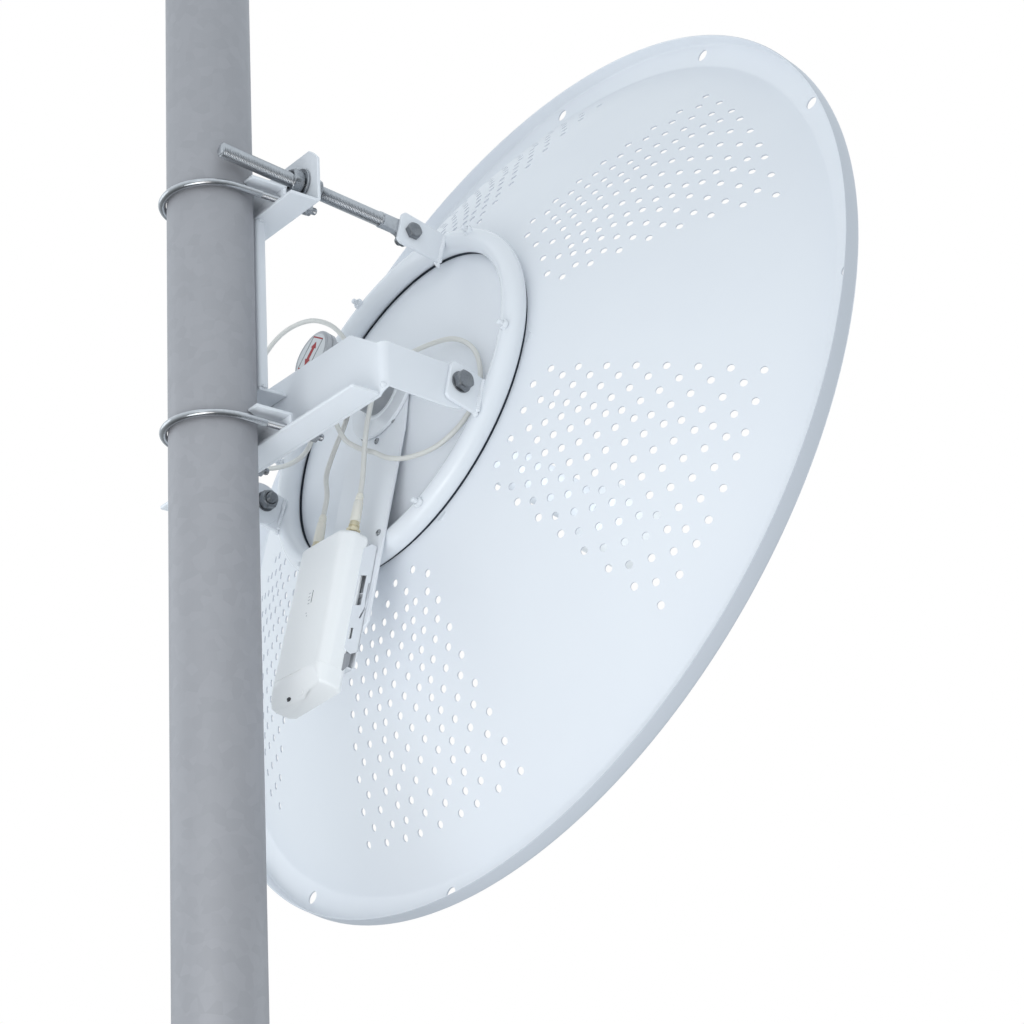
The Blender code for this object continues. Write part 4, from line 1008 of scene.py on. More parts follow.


# Ring contact shade. A thin dark strip laid on the sheet round the ring's foot, painted shade
# for the shadow where tube and sheet meet. It shows as a thin line round the ring's foot.
SHADE_LINE_INNER, SHADE_LINE_OUTER = 0.1830, 0.1985
SHADE_LINE_HEIGHT = 0.0012
SHADE_LINE_SUNK = 0.0003


def shade_line_rows(inner, outer, height, around=16, count=240):
    """A thin strip of painted shade on the back of the sheet, carried round the boresight: its
    section is half an ellipse that stands on the sheet's curve."""
    bearing = np.linspace(0, 2 * np.pi, count, endpoint=False)
    angle = np.linspace(0, 2 * np.pi, around, endpoint=False)
    reach = (inner + outer) / 2 + (outer - inner) / 2 * np.cos(angle)
    n = bowl_n(reach) + SHADE_LINE_SUNK - height * np.maximum(0, np.sin(angle))
    return np.stack([reach * np.sin(bearing)[:, None], np.broadcast_to(n, (count, around)),
                     reach * np.cos(bearing)[:, None]], -1)


# Painted shade: the strip's dark colour stands in for the shadow at the ring's foot.
shade_line_dark = moulded_plastic("dark_polyurethane_sealant", "#2b3440", roughness=0.55, grain=0.0020,
                          depth=0.15)
make_piece("ring_sealant", [skin(from_dish(shade_line_rows(SHADE_LINE_INNER, SHADE_LINE_OUTER, SHADE_LINE_HEIGHT)),
                                 closed=True)], shade_line_dark, "dish")


# Ring screws. Six long M6 pan-head screws that come through the reflector and the tube from
# the front, each with a hexagon nut behind. They were coated with the ring.
RING_SCREWS = (-30, 30, 90, 150, 210, 270)
SCREW_CIRCLE = 0.1990
SCREW_NUT_FLATS = 0.010
SCREW_NUT = 0.005
SCREW_NUT_SUNK = 0.0006               # the nut bites this far into the round tube
SCREW_RADIUS = 0.003
M6_PITCH = 0.001
SCREW_END_N = 0.0165
SCREW_DOME = ((0.0070, -0.001), (0.0070, 0.0012), (0.0060, 0.0030), (0.0036, 0.0040),
              (0.0022, 0.0041), (0.0020, 0.0022))   # radius and height, down to its recess


def dish_axis(rows, radius, bearing):
    """Rows made about local Z, set along the boresight at a bearing and radius."""
    at = on_dish(bearing, radius)
    return from_dish(rows[..., [0, 2, 1]] + at)


offset = SCREW_CIRCLE - RING_RADIUS
tube_back = RING_N - math.sqrt(RING_TUBE ** 2 - offset ** 2)
sheet_front = float(bowl_n(np.array(SCREW_CIRCLE))) + SHEET
nut = (nut_rows(SCREW_NUT_FLATS, SCREW_NUT, SCREW_RADIUS + BORE_SLACK, 36)
       + (0, 0, tube_back - SCREW_NUT + SCREW_NUT_SUNK))
stud = stud_rows(SCREW_RADIUS, 0.0, tube_back - SCREW_END_N, M6_PITCH, 16) * (1, 1, -1)
head = turned_rows(SCREW_DOME, 32) + (0, 0, sheet_front)
screw_parts = []
for bearing in np.radians(RING_SCREWS):
    screw_parts += [skin(dish_axis(nut, SCREW_CIRCLE, bearing), closed=True),
                    skin(dish_axis(stud + (0, 0, tube_back), SCREW_CIRCLE, bearing)),
                    skin(dish_axis(head, SCREW_CIRCLE, bearing))]
make_piece("ring_screws", screw_parts, gloss_white, "dish", sharp=40)


# Lugs. Three plates cut from 5 mm steel and welded to the ring: one at each elevation bolt
# and one on top for the rod's pin. The beads run down both sides of each lug.
LUG_EDGE = 0.0010
SIDE_LUG_OUTLINE = ((-0.0140, 0.0175, 0.004), (-0.0110, 0.0210, 0.003), (0.0254, 0.0185, 0.001),
                    (0.0254, -0.0240, 0.001), (-0.0100, -0.0230, 0.004), (-0.0140, -0.0190, 0.004))
TOP_LUG_OUTLINE = ((-0.0165, 0.0155, 0.004), (-0.0125, 0.0195, 0.003), (0.0, 0.0205, 0.001),
                   (0.0, -0.0165, 0.001), (-0.0120, -0.0200, 0.004), (-0.0160, -0.0160, 0.004))
LUG_WELD, LUG_UNDER_WELD = 0.0026, 0.0030
WELD_SUNK, WELD_RAISED = 0.0006, 0.0004       # how far the beads lie in and out of the faces
WELD_PAST = 0.001                     # the lower bead runs on past both faces of the lug
UNDER_WELD_IN = 0.0002
WELD_LOW_END, SIDE_WELD_HIGH_END, TOP_WELD_HIGH_END = 0.001, 0.003, 0.002   # short of the lug


def dish_span(node):
    """Lowest and highest corner of a CAD node in the dish's own frame."""
    mesh = frame["nodes"][node].data
    points = np.empty(len(mesh.vertices) * 3, np.float32)
    mesh.vertices.foreach_get("co", points)
    x, y, z = (points.reshape(-1, 3) - pivot).T
    n = y * math.cos(TILT) - z * math.sin(TILT)
    u = y * math.sin(TILT) + z * math.cos(TILT)
    own = np.stack([x, n, u - CENTRE_U], 1)
    return own.min(0), own.max(0)


def lug_rows(outline, low_x, high_x, n, v):
    """A lug plate across x, its outline given as (n, v) from its bolt."""
    shape = rounded([(a + n, b + v, r) for a, b, r in outline])[::-1]
    return plate_rows(shape, low_x, high_x, LUG_EDGE)[..., [2, 0, 1]]


def lug_welds(low_x, high_x, front_n, low_v, high_v, seed):
    """Beads where a lug meets the ring: one down each face, one round its lower edge."""
    beads = []
    for k, x in enumerate((low_x - WELD_RAISED, high_x + WELD_RAISED)):
        path = [(x, front_n - WELD_SUNK, low_v), (x, front_n + WELD_RAISED, high_v)]
        beads.append(bead_rows(path, LUG_WELD, ripple=0.0024, sideways=(1, 0, 0), seed=seed + k))
    path = [(x, front_n - UNDER_WELD_IN, low_v - WELD_SUNK)
            for x in (low_x - WELD_PAST, high_x + WELD_PAST)]
    beads.append(bead_rows(path, LUG_UNDER_WELD, ripple=0.0026, sideways=(0, 1, 0),
                           seed=seed + 2))
    return [skin(from_dish(rows)) for rows in beads]


# The front edge of each outline, its largest n, is moved to where the CAD's plate ends.
weld_parts = []
for name, seed in (("near", 20), ("far", 30)):
    low, high = dish_span(name + "_lug")
    front_n = max(n for n, v, r in SIDE_LUG_OUTLINE)
    shape = [(n if n < front_n else high[1], v, r) for n, v, r in SIDE_LUG_OUTLINE]
    rows = lug_rows(shape, low[0], high[0], 0.0, -CENTRE_U)
    make_piece(name + "_side_lug", [skin(from_dish(rows))], gloss_white, "dish", [name + "_lug"])
    weld_parts += lug_welds(low[0], high[0], high[1], low[2] + WELD_LOW_END,
                            high[2] - SIDE_WELD_HIGH_END, seed)
low, high = dish_span("top_lug")
pin_low, pin_high = dish_span("top_pin_bolt")
pin_n, pin_v = (pin_low[1] + pin_high[1]) / 2, (pin_low[2] + pin_high[2]) / 2
front_n = max(n for n, v, r in TOP_LUG_OUTLINE)
shape = [(n if n < front_n else high[1] - pin_n, v, r) for n, v, r in TOP_LUG_OUTLINE]
rows = lug_rows(shape, low[0], high[0], pin_n, pin_v)
make_piece("rod_lug", [skin(from_dish(rows))], gloss_white, "dish", ["top_lug"])
weld_parts += lug_welds(low[0], high[0], high[1], low[2] + WELD_LOW_END,
                        high[2] - TOP_WELD_HIGH_END, 40)
make_piece("lug_welds", weld_parts, gloss_white, "dish", sharp=70)


# Rod pin. An M10 hexagon bolt and nut, blackened like the elevation bolts, through the top lug
# and the flat end of the elevation rod.
PIN_FLATS = 0.0165
PIN_HEAD = 0.0065
PIN_RADIUS = 0.005
PIN_SPIN = 0.45                       # how far its head happens to be turned, in radians
M10_PITCH = 0.0015

pin_at = from_dish((0.0, pin_n, pin_v))
shank_low, shank_high = pin_low[0], pin_high[0] - PIN_HEAD
head = head_rows(PIN_FLATS, PIN_HEAD) + (0, 0, shank_high)
shank = (stud_rows(PIN_RADIUS, 0, shank_high - shank_low, M10_PITCH) * (1, 1, -1)
         + (0, 0, shank_high))
pin_parts = [skin(aimed(head, pin_at, (1, 0, 0), PIN_SPIN)), skin(aimed(shank, pin_at, (1, 0, 0)))]
make_piece("rod_pin_bolt", pin_parts, black_steel, "dish", ["top_pin_bolt"], 40)
low, high = dish_span("top_pin_nut")
rows = nut_rows(PIN_FLATS, high[0] - low[0], PIN_RADIUS + BORE_SLACK) + (0, 0, low[0])
make_piece("rod_pin_nut", [skin(aimed(rows, pin_at, (1, 0, 0)), closed=True)], black_steel, "dish",
           ["top_pin_nut"], 40)


# Elevation rod. An M16 threaded rod, zinc plated, with a flat bar welded to its end for the
# pin. It pushes or pulls the top of the dish to set its tilt.
M16_PITCH = 0.002
ROD_RADIUS = 0.008
ROD_LIFT = 0.0045                     # centre line of the rod above its pin
ROD_NECK = 0.0375
EYE_HALF = 0.004
EYE_CORNER = 0.0015
NECK_WELD = 0.0018
NECK_ACROSS, NECK_UP = 0.0064, 0.0072         # half sizes of the weld's path round the neck
NECK_STEPS = 40
FLAT_BAR = ((-0.0125, 0.0000, 0.0050), (-0.0110, 0.0002, 0.0085), (-0.0080, 0.0006, 0.0108),
            (-0.0030, 0.0009, 0.0119), (0.0030, 0.0014, 0.0119), (0.0100, 0.0025, 0.0112),
            (0.0170, 0.0040, 0.0090), (0.0220, 0.0045, 0.0085), (0.0400, 0.0045, 0.0085))

pin = np.array(joints["rod_pin"]["pos_m"], float)
slide = np.array(joints["rod_nut_travel"]["axis"], float)
pitch = math.atan2(slide[2], -slide[1])
drift = slide[0] / math.hypot(slide[1], slide[2])
rod_low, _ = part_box("elevation_rod")
rod_length = (pin[1] - rod_low.y) / math.cos(pitch) - ROD_RADIUS * math.tan(pitch)


def from_rod(rows):
    """Rows in the rod's own frame (x, up from the pin, back along the rod) in the world. The
    rod also drifts sideways as it runs back."""
    x, up, back = np.moveaxis(rows, -1, 0)
    return np.stack([pin[0] + x + back * drift,
                     pin[1] + up * math.sin(pitch) - back * math.cos(pitch),
                     pin[2] + up * math.cos(pitch) + back * math.sin(pitch)], -1)


def flat_bar_rows():
    """The flat bar: a rectangle with round corners, taller round the pin and narrow at the
    thread, one for each (distance back, centre height, half height)."""
    rows = []
    for back, centre, half in FLAT_BAR:
        outline = rounded([(x, v, EYE_CORNER) for x, v in
                           ((-EYE_HALF, centre - half), (EYE_HALF, centre - half),
                            (EYE_HALF, centre + half), (-EYE_HALF, centre + half))])
        rows.append(np.column_stack([outline, np.full(len(outline), back)]))
    return np.array(rows)


thread_zinc = zinc_plate("rolled_zinc_thread", "#c4c7cb", roughness=0.28)
rod_thread = stud_rows(ROD_RADIUS, ROD_NECK, rod_length, M16_PITCH, 28) + (0, ROD_LIFT, 0)
neck_angle = np.linspace(0, 2 * np.pi, NECK_STEPS)
neck = np.stack([NECK_ACROSS * np.cos(neck_angle), ROD_LIFT + NECK_UP * np.sin(neck_angle),
                 np.full(NECK_STEPS, ROD_NECK)], 1)
neck_weld = bead_rows(neck, NECK_WELD, ripple=0.0026, seed=50)
make_piece("threaded_rod", [skin(from_rod(rod_thread)), skin(from_rod(flat_bar_rows())),
                            skin(from_rod(neck_weld))], thread_zinc, "rod", ["elevation_rod"],
           50)


# Clamp nuts. Two thick M16 nuts with turned washers, one on each side of the upper angle's
# plate. They hold the rod where it is set, and the rear washer is the wider one.
ROD_NUT_FLATS = 0.024
ROD_NUT_BORE = ROD_RADIUS + 0.0009    # oversize, because the rod leans in its nuts
ROD_NUT_SPIN = 0.3
WASHER_THICK = 0.0025
WASHER_RADII = {"rear": 0.0165, "front": 0.0135}

for name, away in (("rear", -1), ("front", 1)):
    low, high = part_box(name + "_rod_nut")
    face, end = (high.y, low.y) if away < 0 else (low.y, high.y)
    thick = abs(end - face) - WASHER_THICK
    middle = ((low.x + high.x) / 2, face, (low.z + high.z) / 2)
    washer = washer_rows(ROD_NUT_BORE, WASHER_RADII[name], 0.0, WASHER_THICK)
    nut = nut_rows(ROD_NUT_FLATS, thick, ROD_NUT_BORE) + (0, 0, WASHER_THICK)
    parts = [skin(aimed(washer, middle, (0, away, 0)), closed=True),
             skin(aimed(nut, middle, (0, away, 0), ROD_NUT_SPIN), closed=True)]
    make_piece(name + "_clamp_nut", parts, nut_zinc, "rod_nuts", [name + "_rod_nut"],
               40)


# Feed. A cast and turned aluminium body behind the hub, with a screwed cap, on a coated hub
# flange. In front of the bowl, a coated tube leads to a moulded white cover.
GRAIN = 0.0005                        # grain of the blasted metal, drawn coarse to show
CAP_FACE_IN = 0.0004                  # the end cap's face lies this far inside its rim
DOME_HEIGHT, DOME_INSET = 0.006, 0.004
COVER_SHORT = 0.0006                  # the dome's crown ends this much short of the CAD's


def cast_aluminium():
    """Turned and bead-blasted aluminium casting: pale grey metal with a fine even grain."""
    look, tree, shader = new_material("cast_aluminium")
    at = add_node(tree, "ShaderNodeTexCoord").outputs["Object"]
    grain = add_node(tree, "ShaderNodeTexNoise", {"Vector": at, "Scale": 1 / GRAIN})
    tone = add_node(tree, "ShaderNodeMix", {0: grain.outputs["Fac"],
                                            MIX_A: linear("#a2a4a7"), MIX_B: linear("#bebfc2")},
                    data_type="RGBA")
    relief = add_node(tree, "ShaderNodeBump", {"Height": grain.outputs["Fac"],
                                               "Strength": 0.25, "Distance": 0.0001})
    join(tree, shader, {"Base Color": tone.outputs[MIX_OUT], "Metallic": 0.9,
                        "Roughness": 0.42, "Normal": relief.outputs[0]})
    return look


def feed_piece(profile, around=64):
    """A turned piece on the boresight, from (radius, n) steps."""
    return [skin(from_dish(turned_rows(profile, around)[..., [0, 2, 1]]))]


aluminium = cast_aluminium()
flange_low, flange_high = dish_span("feed_flange")
r, n0, n1 = flange_high[0], flange_low[1], flange_high[1]
flange_profile = [(r - 0.0008, n1), (r, n1 - 0.0006), (r, n0 + 0.0008), (r - 0.0008, n0),
                  (0.030, n0), (0.0285, n0 - 0.0012)]
make_piece("hub_flange", feed_piece(flange_profile), gloss_white, "dish", ["feed_flange"])
body_low, body_high = dish_span("feed_body")
r, n0, n1 = body_high[0], body_low[1], body_high[1]
body_profile = [(r, n1), (r, n0 + 0.020), (r - 0.0010, n0 + 0.0195), (r - 0.0010, n0 + 0.0165),
                (r, n0 + 0.016), (r, n0 + 0.003), (r - 0.0012, n0)]
make_piece("feed_housing", feed_piece(body_profile), aluminium, "dish", ["feed_body"])
cap_low, cap_high = dish_span("feed_cap")
r, n0, n1 = cap_high[0], cap_low[1], cap_high[1]
cap_profile = [(r - 0.0040, n0 + CAP_FACE_IN), (r - 0.0032, n0), (r - 0.0014, n0 + 0.0002),
               (r - 0.0004, n0 + 0.0010), (r, n0 + 0.0024), (r, n0 + 0.0052),
               (r - 0.0010, n0 + 0.0058), (r - 0.0010, n0 + 0.0070), (r, n0 + 0.0076),
               (r, n1 - 0.0012), (r - 0.0010, n1)]
make_piece("feed_end_cap", feed_piece(cap_profile, 80), aluminium, "dish", ["feed_cap"])
tube_low, tube_high = dish_span("feed_tube")
r, n0, n1 = tube_high[0], tube_low[1], tube_high[1]
make_piece("feed_stem", feed_piece([(r, n0), (r, n1)]), satin_white, "dish", ["feed_tube"])
cover_low, cover_high = dish_span("feed_cover")
asa_plastic = moulded_plastic("white_asa_plastic", "#fcfdfd", roughness=0.32, grain=0.0007,
                              depth=0.10)
r, n0, n1 = cover_high[0], cover_low[1], cover_high[1] - COVER_SHORT
dome = [(r - DOME_INSET * (1 - math.sin(a)), n1 - DOME_HEIGHT * (1 - math.cos(a)))
        for a in np.linspace(np.pi / 2, 0, 8)]
cover_profile = [(0.0255, n0), (0.0262, n0 + 0.0006), (r - 0.003, n0 + 0.007), (r, n0 + 0.015),
                 (r, n1 - DOME_HEIGHT)] + dome[1:]
make_piece("feed_radome", feed_piece(cover_profile, 80), asa_plastic, "dish",
           ["feed_cover"])


# Feed label. A disc of printed foil stuck on the cap, with two fine lines and a plain red
# arrow between two red bars, for the way the feed is turned.
RED_PRINT = "#a30f18"
FOIL = "#c9cbcd"
LABEL_TURN = math.radians(31)         # the arrow leans over by this much from upright
LABEL_HALF = (0.0115, 0.0185)
LABEL_AT = (-0.0020, 0.0030)          # the print is a little off the disc's centre
LABEL_MARGIN = 0.0044                 # of bare cap round the disc
LINE_HALF = 0.0005
BAR_HALF = 0.0008
ARROW = ((0, 0.0140), (0.0062, 0.0066), (0.0030, 0.0066), (0.0030, -0.0066), (0.0062, -0.0066),
         (0, -0.0140), (-0.0062, -0.0066), (-0.0030, -0.0066), (-0.0030, 0.0066),
         (-0.0062, 0.0066))
PRINT_LIFT = 0.00012                  # a layer of print stands out this far, to show
PRINT_SUNK = 0.0003
face_n = cap_low[1] + CAP_FACE_IN


def printed(name, colour, roughness, metal):
    """A printed or foil surface: even colour with the slight tooth of the film."""
    look, tree, shader = new_material(name)
    at = add_node(tree, "ShaderNodeTexCoord").outputs["Object"]
    tooth = add_node(tree, "ShaderNodeTexNoise", {"Vector": at, "Scale": 1 / GRAIN})
    relief = add_node(tree, "ShaderNodeBump", {"Height": tooth.outputs["Fac"],
                                               "Strength": 0.08, "Distance": 0.0001})
    join(tree, shader, {"Base Color": linear(colour), "Metallic": metal, "Roughness": roughness,
                        "Normal": relief.outputs[0]})
    return look


def bar_outline(x, y, wide, tall):
    """The four corners of a bar, from its middle and half its width and height."""
    return [(x - wide, y - tall), (x + wide, y - tall), (x + wide, y + tall), (x - wide, y + tall)]


def label_rows(outline, level, at=LABEL_AT):
    """A thin printed shape on the cap's face, given across and up the label."""
    c, s = math.cos(LABEL_TURN), math.sin(LABEL_TURN)
    a, b = np.array(outline, float).T
    turned = np.stack([a * c + b * s, b * c - a * s], 1) + at
    rows = [np.column_stack([turned[:, 0], np.full(len(turned), n), turned[:, 1]])
            for n in (face_n + PRINT_SUNK, face_n - level * PRINT_LIFT)]
    return from_dish(np.array(rows))


foil = printed("foil_label", FOIL, roughness=0.30, metal=0.6)
red = printed("red_print", RED_PRINT, roughness=0.5, metal=0.0)
dark = printed("dark_print", "#55585c", roughness=0.5, metal=0.0)
disc = ring_points(cap_high[0] - LABEL_MARGIN, 72)
make_piece("feed_label", [skin(label_rows(disc, 1, (0, 0)))], foil, "dish")
w, h = LABEL_HALF
lines = [bar_outline(sign * w, 0, LINE_HALF, h) for sign in (-1, 1)]
make_piece("feed_label_lines", [skin(label_rows(line, 2)) for line in lines], dark, "dish")
bars = [bar_outline(0, sign * h, w, BAR_HALF) for sign in (-1, 1)]
make_piece("feed_label_arrow", [skin(label_rows(shape, 2)) for shape in [ARROW] + bars], red,
           "dish")


# Radio plate. A flat steel plate screwed to the hub under the feed flange, powder coated. It
# narrows towards the hub. Five zinc-plated pan-head screws hold it, and two more the clip.
PLATE_CORNER = 0.004
SHOULDER_CORNER = 0.010
PLATE_FOOT = 0.010                    # height of its slanted lower corners
NECK_LOW, NECK_HIGH = -0.060, 0.040   # it narrows between these heights
NECK_SHARE, FOOT_SHARE, HEAD_SHARE = 0.72, 0.84, 0.78
RADIO_PLATE_EDGE = 0.0008
SMALL_SCREWS = ((0.0400, -0.1861), (-0.0400, -0.1861), (0.0020, -0.0583), (0.0260, -0.0420),
                (-0.0260, -0.0420))
CLIP_SCREWS = ((0.0291, -0.2014), (-0.0291, -0.2014))
SCREW_HEAD, CLIP_SCREW_HEAD = 0.0036, 0.0030

low, high = dish_span("radio_plate")
half, neck = high[0], NECK_SHARE * high[0]
right = [(FOOT_SHARE * half, low[2], PLATE_CORNER), (half, low[2] + PLATE_FOOT, PLATE_CORNER),
         (half, NECK_LOW, SHOULDER_CORNER), (neck, NECK_HIGH, PLATE_CORNER),
         (HEAD_SHARE * neck, high[2], PLATE_CORNER)]
left = [(-x, v, corner) for x, v, corner in reversed(right)]
outline = left[-2:] + right + left[:-2]
rows = plate_rows(rounded(outline), low[1], high[1], RADIO_PLATE_EDGE)[..., [0, 2, 1]]
make_piece("radio_back_plate", [skin(from_dish(rows))], satin_white, "dish", ["radio_plate"])
plate_rear = low[1]


def pan_screw(radius, x, v, n):
    """A pan-head screw facing backwards, with a hexagon socket."""
    profile = [(0.2 * radius, n + 0.001), (radius, n + 0.001), (radius, n - 0.0006),
               (0.82 * radius, n - 0.0017), (0.52 * radius, n - 0.0021),
               (0.42 * radius, n - 0.0021, 0.84 * radius),
               (0.42 * radius, n - 0.0008, 0.8 * radius)]
    return skin(from_dish(turned_rows(profile, 24)[..., [0, 2, 1]] + (x, 0, v)))


screws = [pan_screw(SCREW_HEAD, x, v, plate_rear) for x, v in SMALL_SCREWS]
screws += [pan_screw(CLIP_SCREW_HEAD, x, v, plate_rear) for x, v in CLIP_SCREWS]
make_piece("plate_screws", screws, nut_zinc, "dish", sharp=40)


# Radio clip. Spring steel sheet folded to a channel that the radio snaps into, coated like the
# plate. Its sides are stamped with a window, a Z slot and a small window, and a plastic block
# closes its lower end, coloured mid grey as painted shade.
CLIP_SHEET = 0.0012
CLIP_EDGE = 0.0004
CLIP_REACH_N = 0.0064                 # the clip's sides come this far back beside the radio
FOOT_HALF, FOOT_N = 0.040, 0.0082
BRIDGE_N, BRIDGE_V = 0.0164, -0.2600
BLOCK_LEFT, BLOCK_RIGHT, BLOCK_EDGE = -0.0425, 0.0438, 0.0006
clip_low, clip_high = dish_span("radio_clip")
WINDOW = rounded([(0.0068, -0.2799, 0.0006), (0.0156, -0.2757, 0.0006), (0.0160, -0.2410, 0.0006),
                  (0.0070, -0.2452, 0.0006)], 3)
Z_SLOT = rounded([(0.0194, -0.2480, 0.0004), (0.0190, -0.2660, 0.0006), (0.0204, -0.2750, 0.0006),
                  (0.0158, -0.2900, 0.0004), (0.0174, -0.2905, 0.0004), (0.0218, -0.2755, 0.0006),
                  (0.0204, -0.2660, 0.0006), (0.0212, -0.2480, 0.0004)], 3)
LOW_WINDOW = rounded([(0.0074, -0.3180, 0.0006), (0.0122, -0.3155, 0.0006),
                      (0.0122, -0.3030, 0.0006), (0.0078, -0.3050, 0.0006)], 3)
SIDE_SHAPE = rounded([(CLIP_REACH_N, -0.3290, 0.001), (0.0140, -0.3320, 0.001),
                      (clip_high[1], -0.3260, 0.002), (clip_high[1], clip_high[2], 0.003),
                      (0.0150, clip_high[2], 0.002), (CLIP_REACH_N, -0.2140, 0.002)], 4)


def clip_side(side):
    """One side wall of the clip: sheet across x with a window, a Z slot and a small window."""
    plan, triangles, loops = pierced(SIDE_SHAPE, [WINDOW, Z_SLOT, LOW_WINDOW], np.zeros((0, 2)))
    inner = clip_high[0] - CLIP_SHEET
    faces = [np.column_stack([np.full(len(plan), side * x), plan])
             for x in (inner, clip_high[0])]
    points, groups = thickened(faces[0], faces[1], triangles, loops)
    return from_dish(points), groups


base = box_rows((-clip_high[0], clip_low[2], clip_high[1] - CLIP_SHEET),
                (clip_high[0], clip_high[2], clip_high[1]), CLIP_EDGE)[..., [0, 2, 1]]
foot, bridge = (box_rows((-FOOT_HALF, n, v), (FOOT_HALF, clip_high[1], v + CLIP_SHEET), CLIP_EDGE)
                for n, v in ((FOOT_N, clip_low[2]), (BRIDGE_N, BRIDGE_V)))
make_piece("radio_spring_clip", [clip_side(1), clip_side(-1), skin(from_dish(base)),
                                 skin(from_dish(foot)), skin(from_dish(bridge))],
           satin_white, "dish", ["radio_clip"])
END_BLOCK = rounded([(0.0080, -0.3550, 0.001), (0.0154, -0.3436, 0.001), (0.0154, -0.3293, 0.001),
                     (0.0080, -0.3340, 0.001)], 4)
block = plate_rows(END_BLOCK, BLOCK_LEFT, BLOCK_RIGHT, BLOCK_EDGE)[..., [2, 0, 1]]
# Painted shade: the block's mid grey stands in for the shade on the clip's lower end.
end_block_painted_grey = moulded_plastic("grey_spring_block", "#9b9da2", roughness=0.5, grain=0.0008,
                              depth=0.15)
make_piece("clip_end_block", [skin(from_dish(block))], end_block_painted_grey, "dish")


# Radio. A two-part moulded housing in white UV-stable plastic: a long body with soft edges
# and a snap-on cover over the port at its lower end.
RADIO_ROUND = 0.0075
BODY_CORNER = 0.0080
SIDE_CORNER = 0.0100
SPLIT_GAP = 0.0002
CORNER_STEPS = 7
CHIN_MIDDLE, CHIN_DROP = -0.3510, 0.0105
FLAT_TOP, FLAT_LOW = 0.0330, 0.0395
SIDE_START = 0.012
FRONT_EDGE, FRONT_CORNER = 0.006, 0.003
STEP_AT, STEP_WIDE, STEP_RISE = 0.010, 0.006, 0.0055   # the step in its lower end
CHIN_SLOPE = 0.42
END_ROUND = 0.003

body_low, body_high = dish_span("radio_body")
rear_n, front_n, radio_half = body_low[1], body_high[1], body_high[0]


def radio_section(flat, v, shrink=0.0, bottom=None):
    """The housing's cross-section: a flat rear, sloped rear sides, straight sides and a flat
    front, with round corners. Shrink draws it in evenly. Below the chin's line, which is
    arched by CHIN_DROP (x / half) squared, the rear slopes forwards, and the near half of the
    bottom is a step higher, eased by 3 s squared minus 2 s cubed."""
    side_n, edge_n = rear_n + SIDE_START, front_n - FRONT_EDGE
    edge_x = radio_half - FRONT_EDGE
    across = [(x, rear_n) for x in np.linspace(-0.7 * flat, 0.7 * flat, 13)]   # for the arch
    corners = [(-flat, rear_n, BODY_CORNER), *across, (flat, rear_n, BODY_CORNER),
               (radio_half, side_n, SIDE_CORNER), (radio_half, edge_n, FRONT_CORNER),
               (edge_x, front_n, FRONT_CORNER), (-edge_x, front_n, FRONT_CORNER),
               (-radio_half, edge_n, FRONT_CORNER), (-radio_half, side_n, SIDE_CORNER)]
    x, n = rounded(corners, CORNER_STEPS).T
    height = np.full(len(x), v)
    if bottom is not None:
        share = (CHIN_MIDDLE - v) / (CHIN_MIDDLE - bottom)
        step = np.clip((x - STEP_AT) / STEP_WIDE, 0, 1)
        height += STEP_RISE * max(0.0, share) * step * step * (3 - 2 * step)
    chin = CHIN_MIDDLE - CHIN_DROP * (x / radio_half) ** 2
    n = np.maximum(n, rear_n + CHIN_SLOPE * np.maximum(0, chin - height))
    middle, depth = (rear_n + front_n) / 2, (front_n - rear_n) / 2
    return np.column_stack([x * (1 - shrink / radio_half),
                            middle + (n - middle) * (1 - shrink / depth), height])


split_v, top_v = body_low[2], body_high[2]
shoulder = [(RADIO_ROUND * (1 - math.cos(a)), top_v - RADIO_ROUND * (1 - math.sin(a)))
            for a in np.linspace(0, np.pi / 2, 10)]
rows = [radio_section(FLAT_LOW, split_v, SPLIT_GAP), radio_section(FLAT_LOW, split_v + SPLIT_GAP)]
rows += [radio_section(FLAT_TOP + (FLAT_LOW - FLAT_TOP) * (top_v - v) / (top_v - split_v), v, d)
         for d, v in shoulder]
make_piece("radio_housing", [skin(from_dish(np.array(rows)))], asa_plastic, "dish",
           ["radio_body"], 40)

end_low, _ = dish_span("radio_end_cover")
bottom_v = end_low[2]
top_of_cover = split_v - SEAT
cover_rows = [radio_section(FLAT_LOW, top_of_cover, SPLIT_GAP, bottom_v)]
cover_rows += [radio_section(FLAT_LOW, v, 0.0, bottom_v)
               for v in np.linspace(top_of_cover - SPLIT_GAP, bottom_v + END_ROUND, 14)]
cover_rows += [radio_section(FLAT_LOW, bottom_v + END_ROUND * (1 - math.sin(a)),
                             END_ROUND * (1 - math.cos(a)), bottom_v)
               for a in np.linspace(0.3, np.pi / 2, 5)]
make_piece("radio_port_cover", [skin(from_dish(np.array(cover_rows)))], asa_plastic, "dish",
           ["radio_end_cover"], 40)


def chin_rows(outline, x, v, low, high):
    """A thin shape that lies on the sloping chin, between two heights above it."""
    along = np.array([CHIN_SLOPE, -1.0]) / math.hypot(CHIN_SLOPE, 1)
    away = np.array([-1.0, -CHIN_SLOPE]) / math.hypot(CHIN_SLOPE, 1)
    chin = CHIN_MIDDLE - CHIN_DROP * (x / radio_half) ** 2
    a, b = np.array(outline, float).T
    rows = []
    for lift in (low, high):
        n = rear_n + CHIN_SLOPE * (chin - v) + b * along[0] + lift * away[0]
        rows.append(np.column_stack([x + a, n, v + b * along[1] + lift * away[1]]))
    return from_dish(np.array(rows))


PORT_AT, PORT_HALF = (-0.0158, -0.3735), (0.0036, 0.0021)
TAB_AT = (0.0035, -0.3728)
TAB = ((-0.0060, -0.0022), (0.0060, -0.0022), (0.0042, 0.0020), (-0.0042, 0.0020))
CHIN_SUNK, PORT_LIFT, TAB_LIFT = -0.001, 0.0002, 0.0007

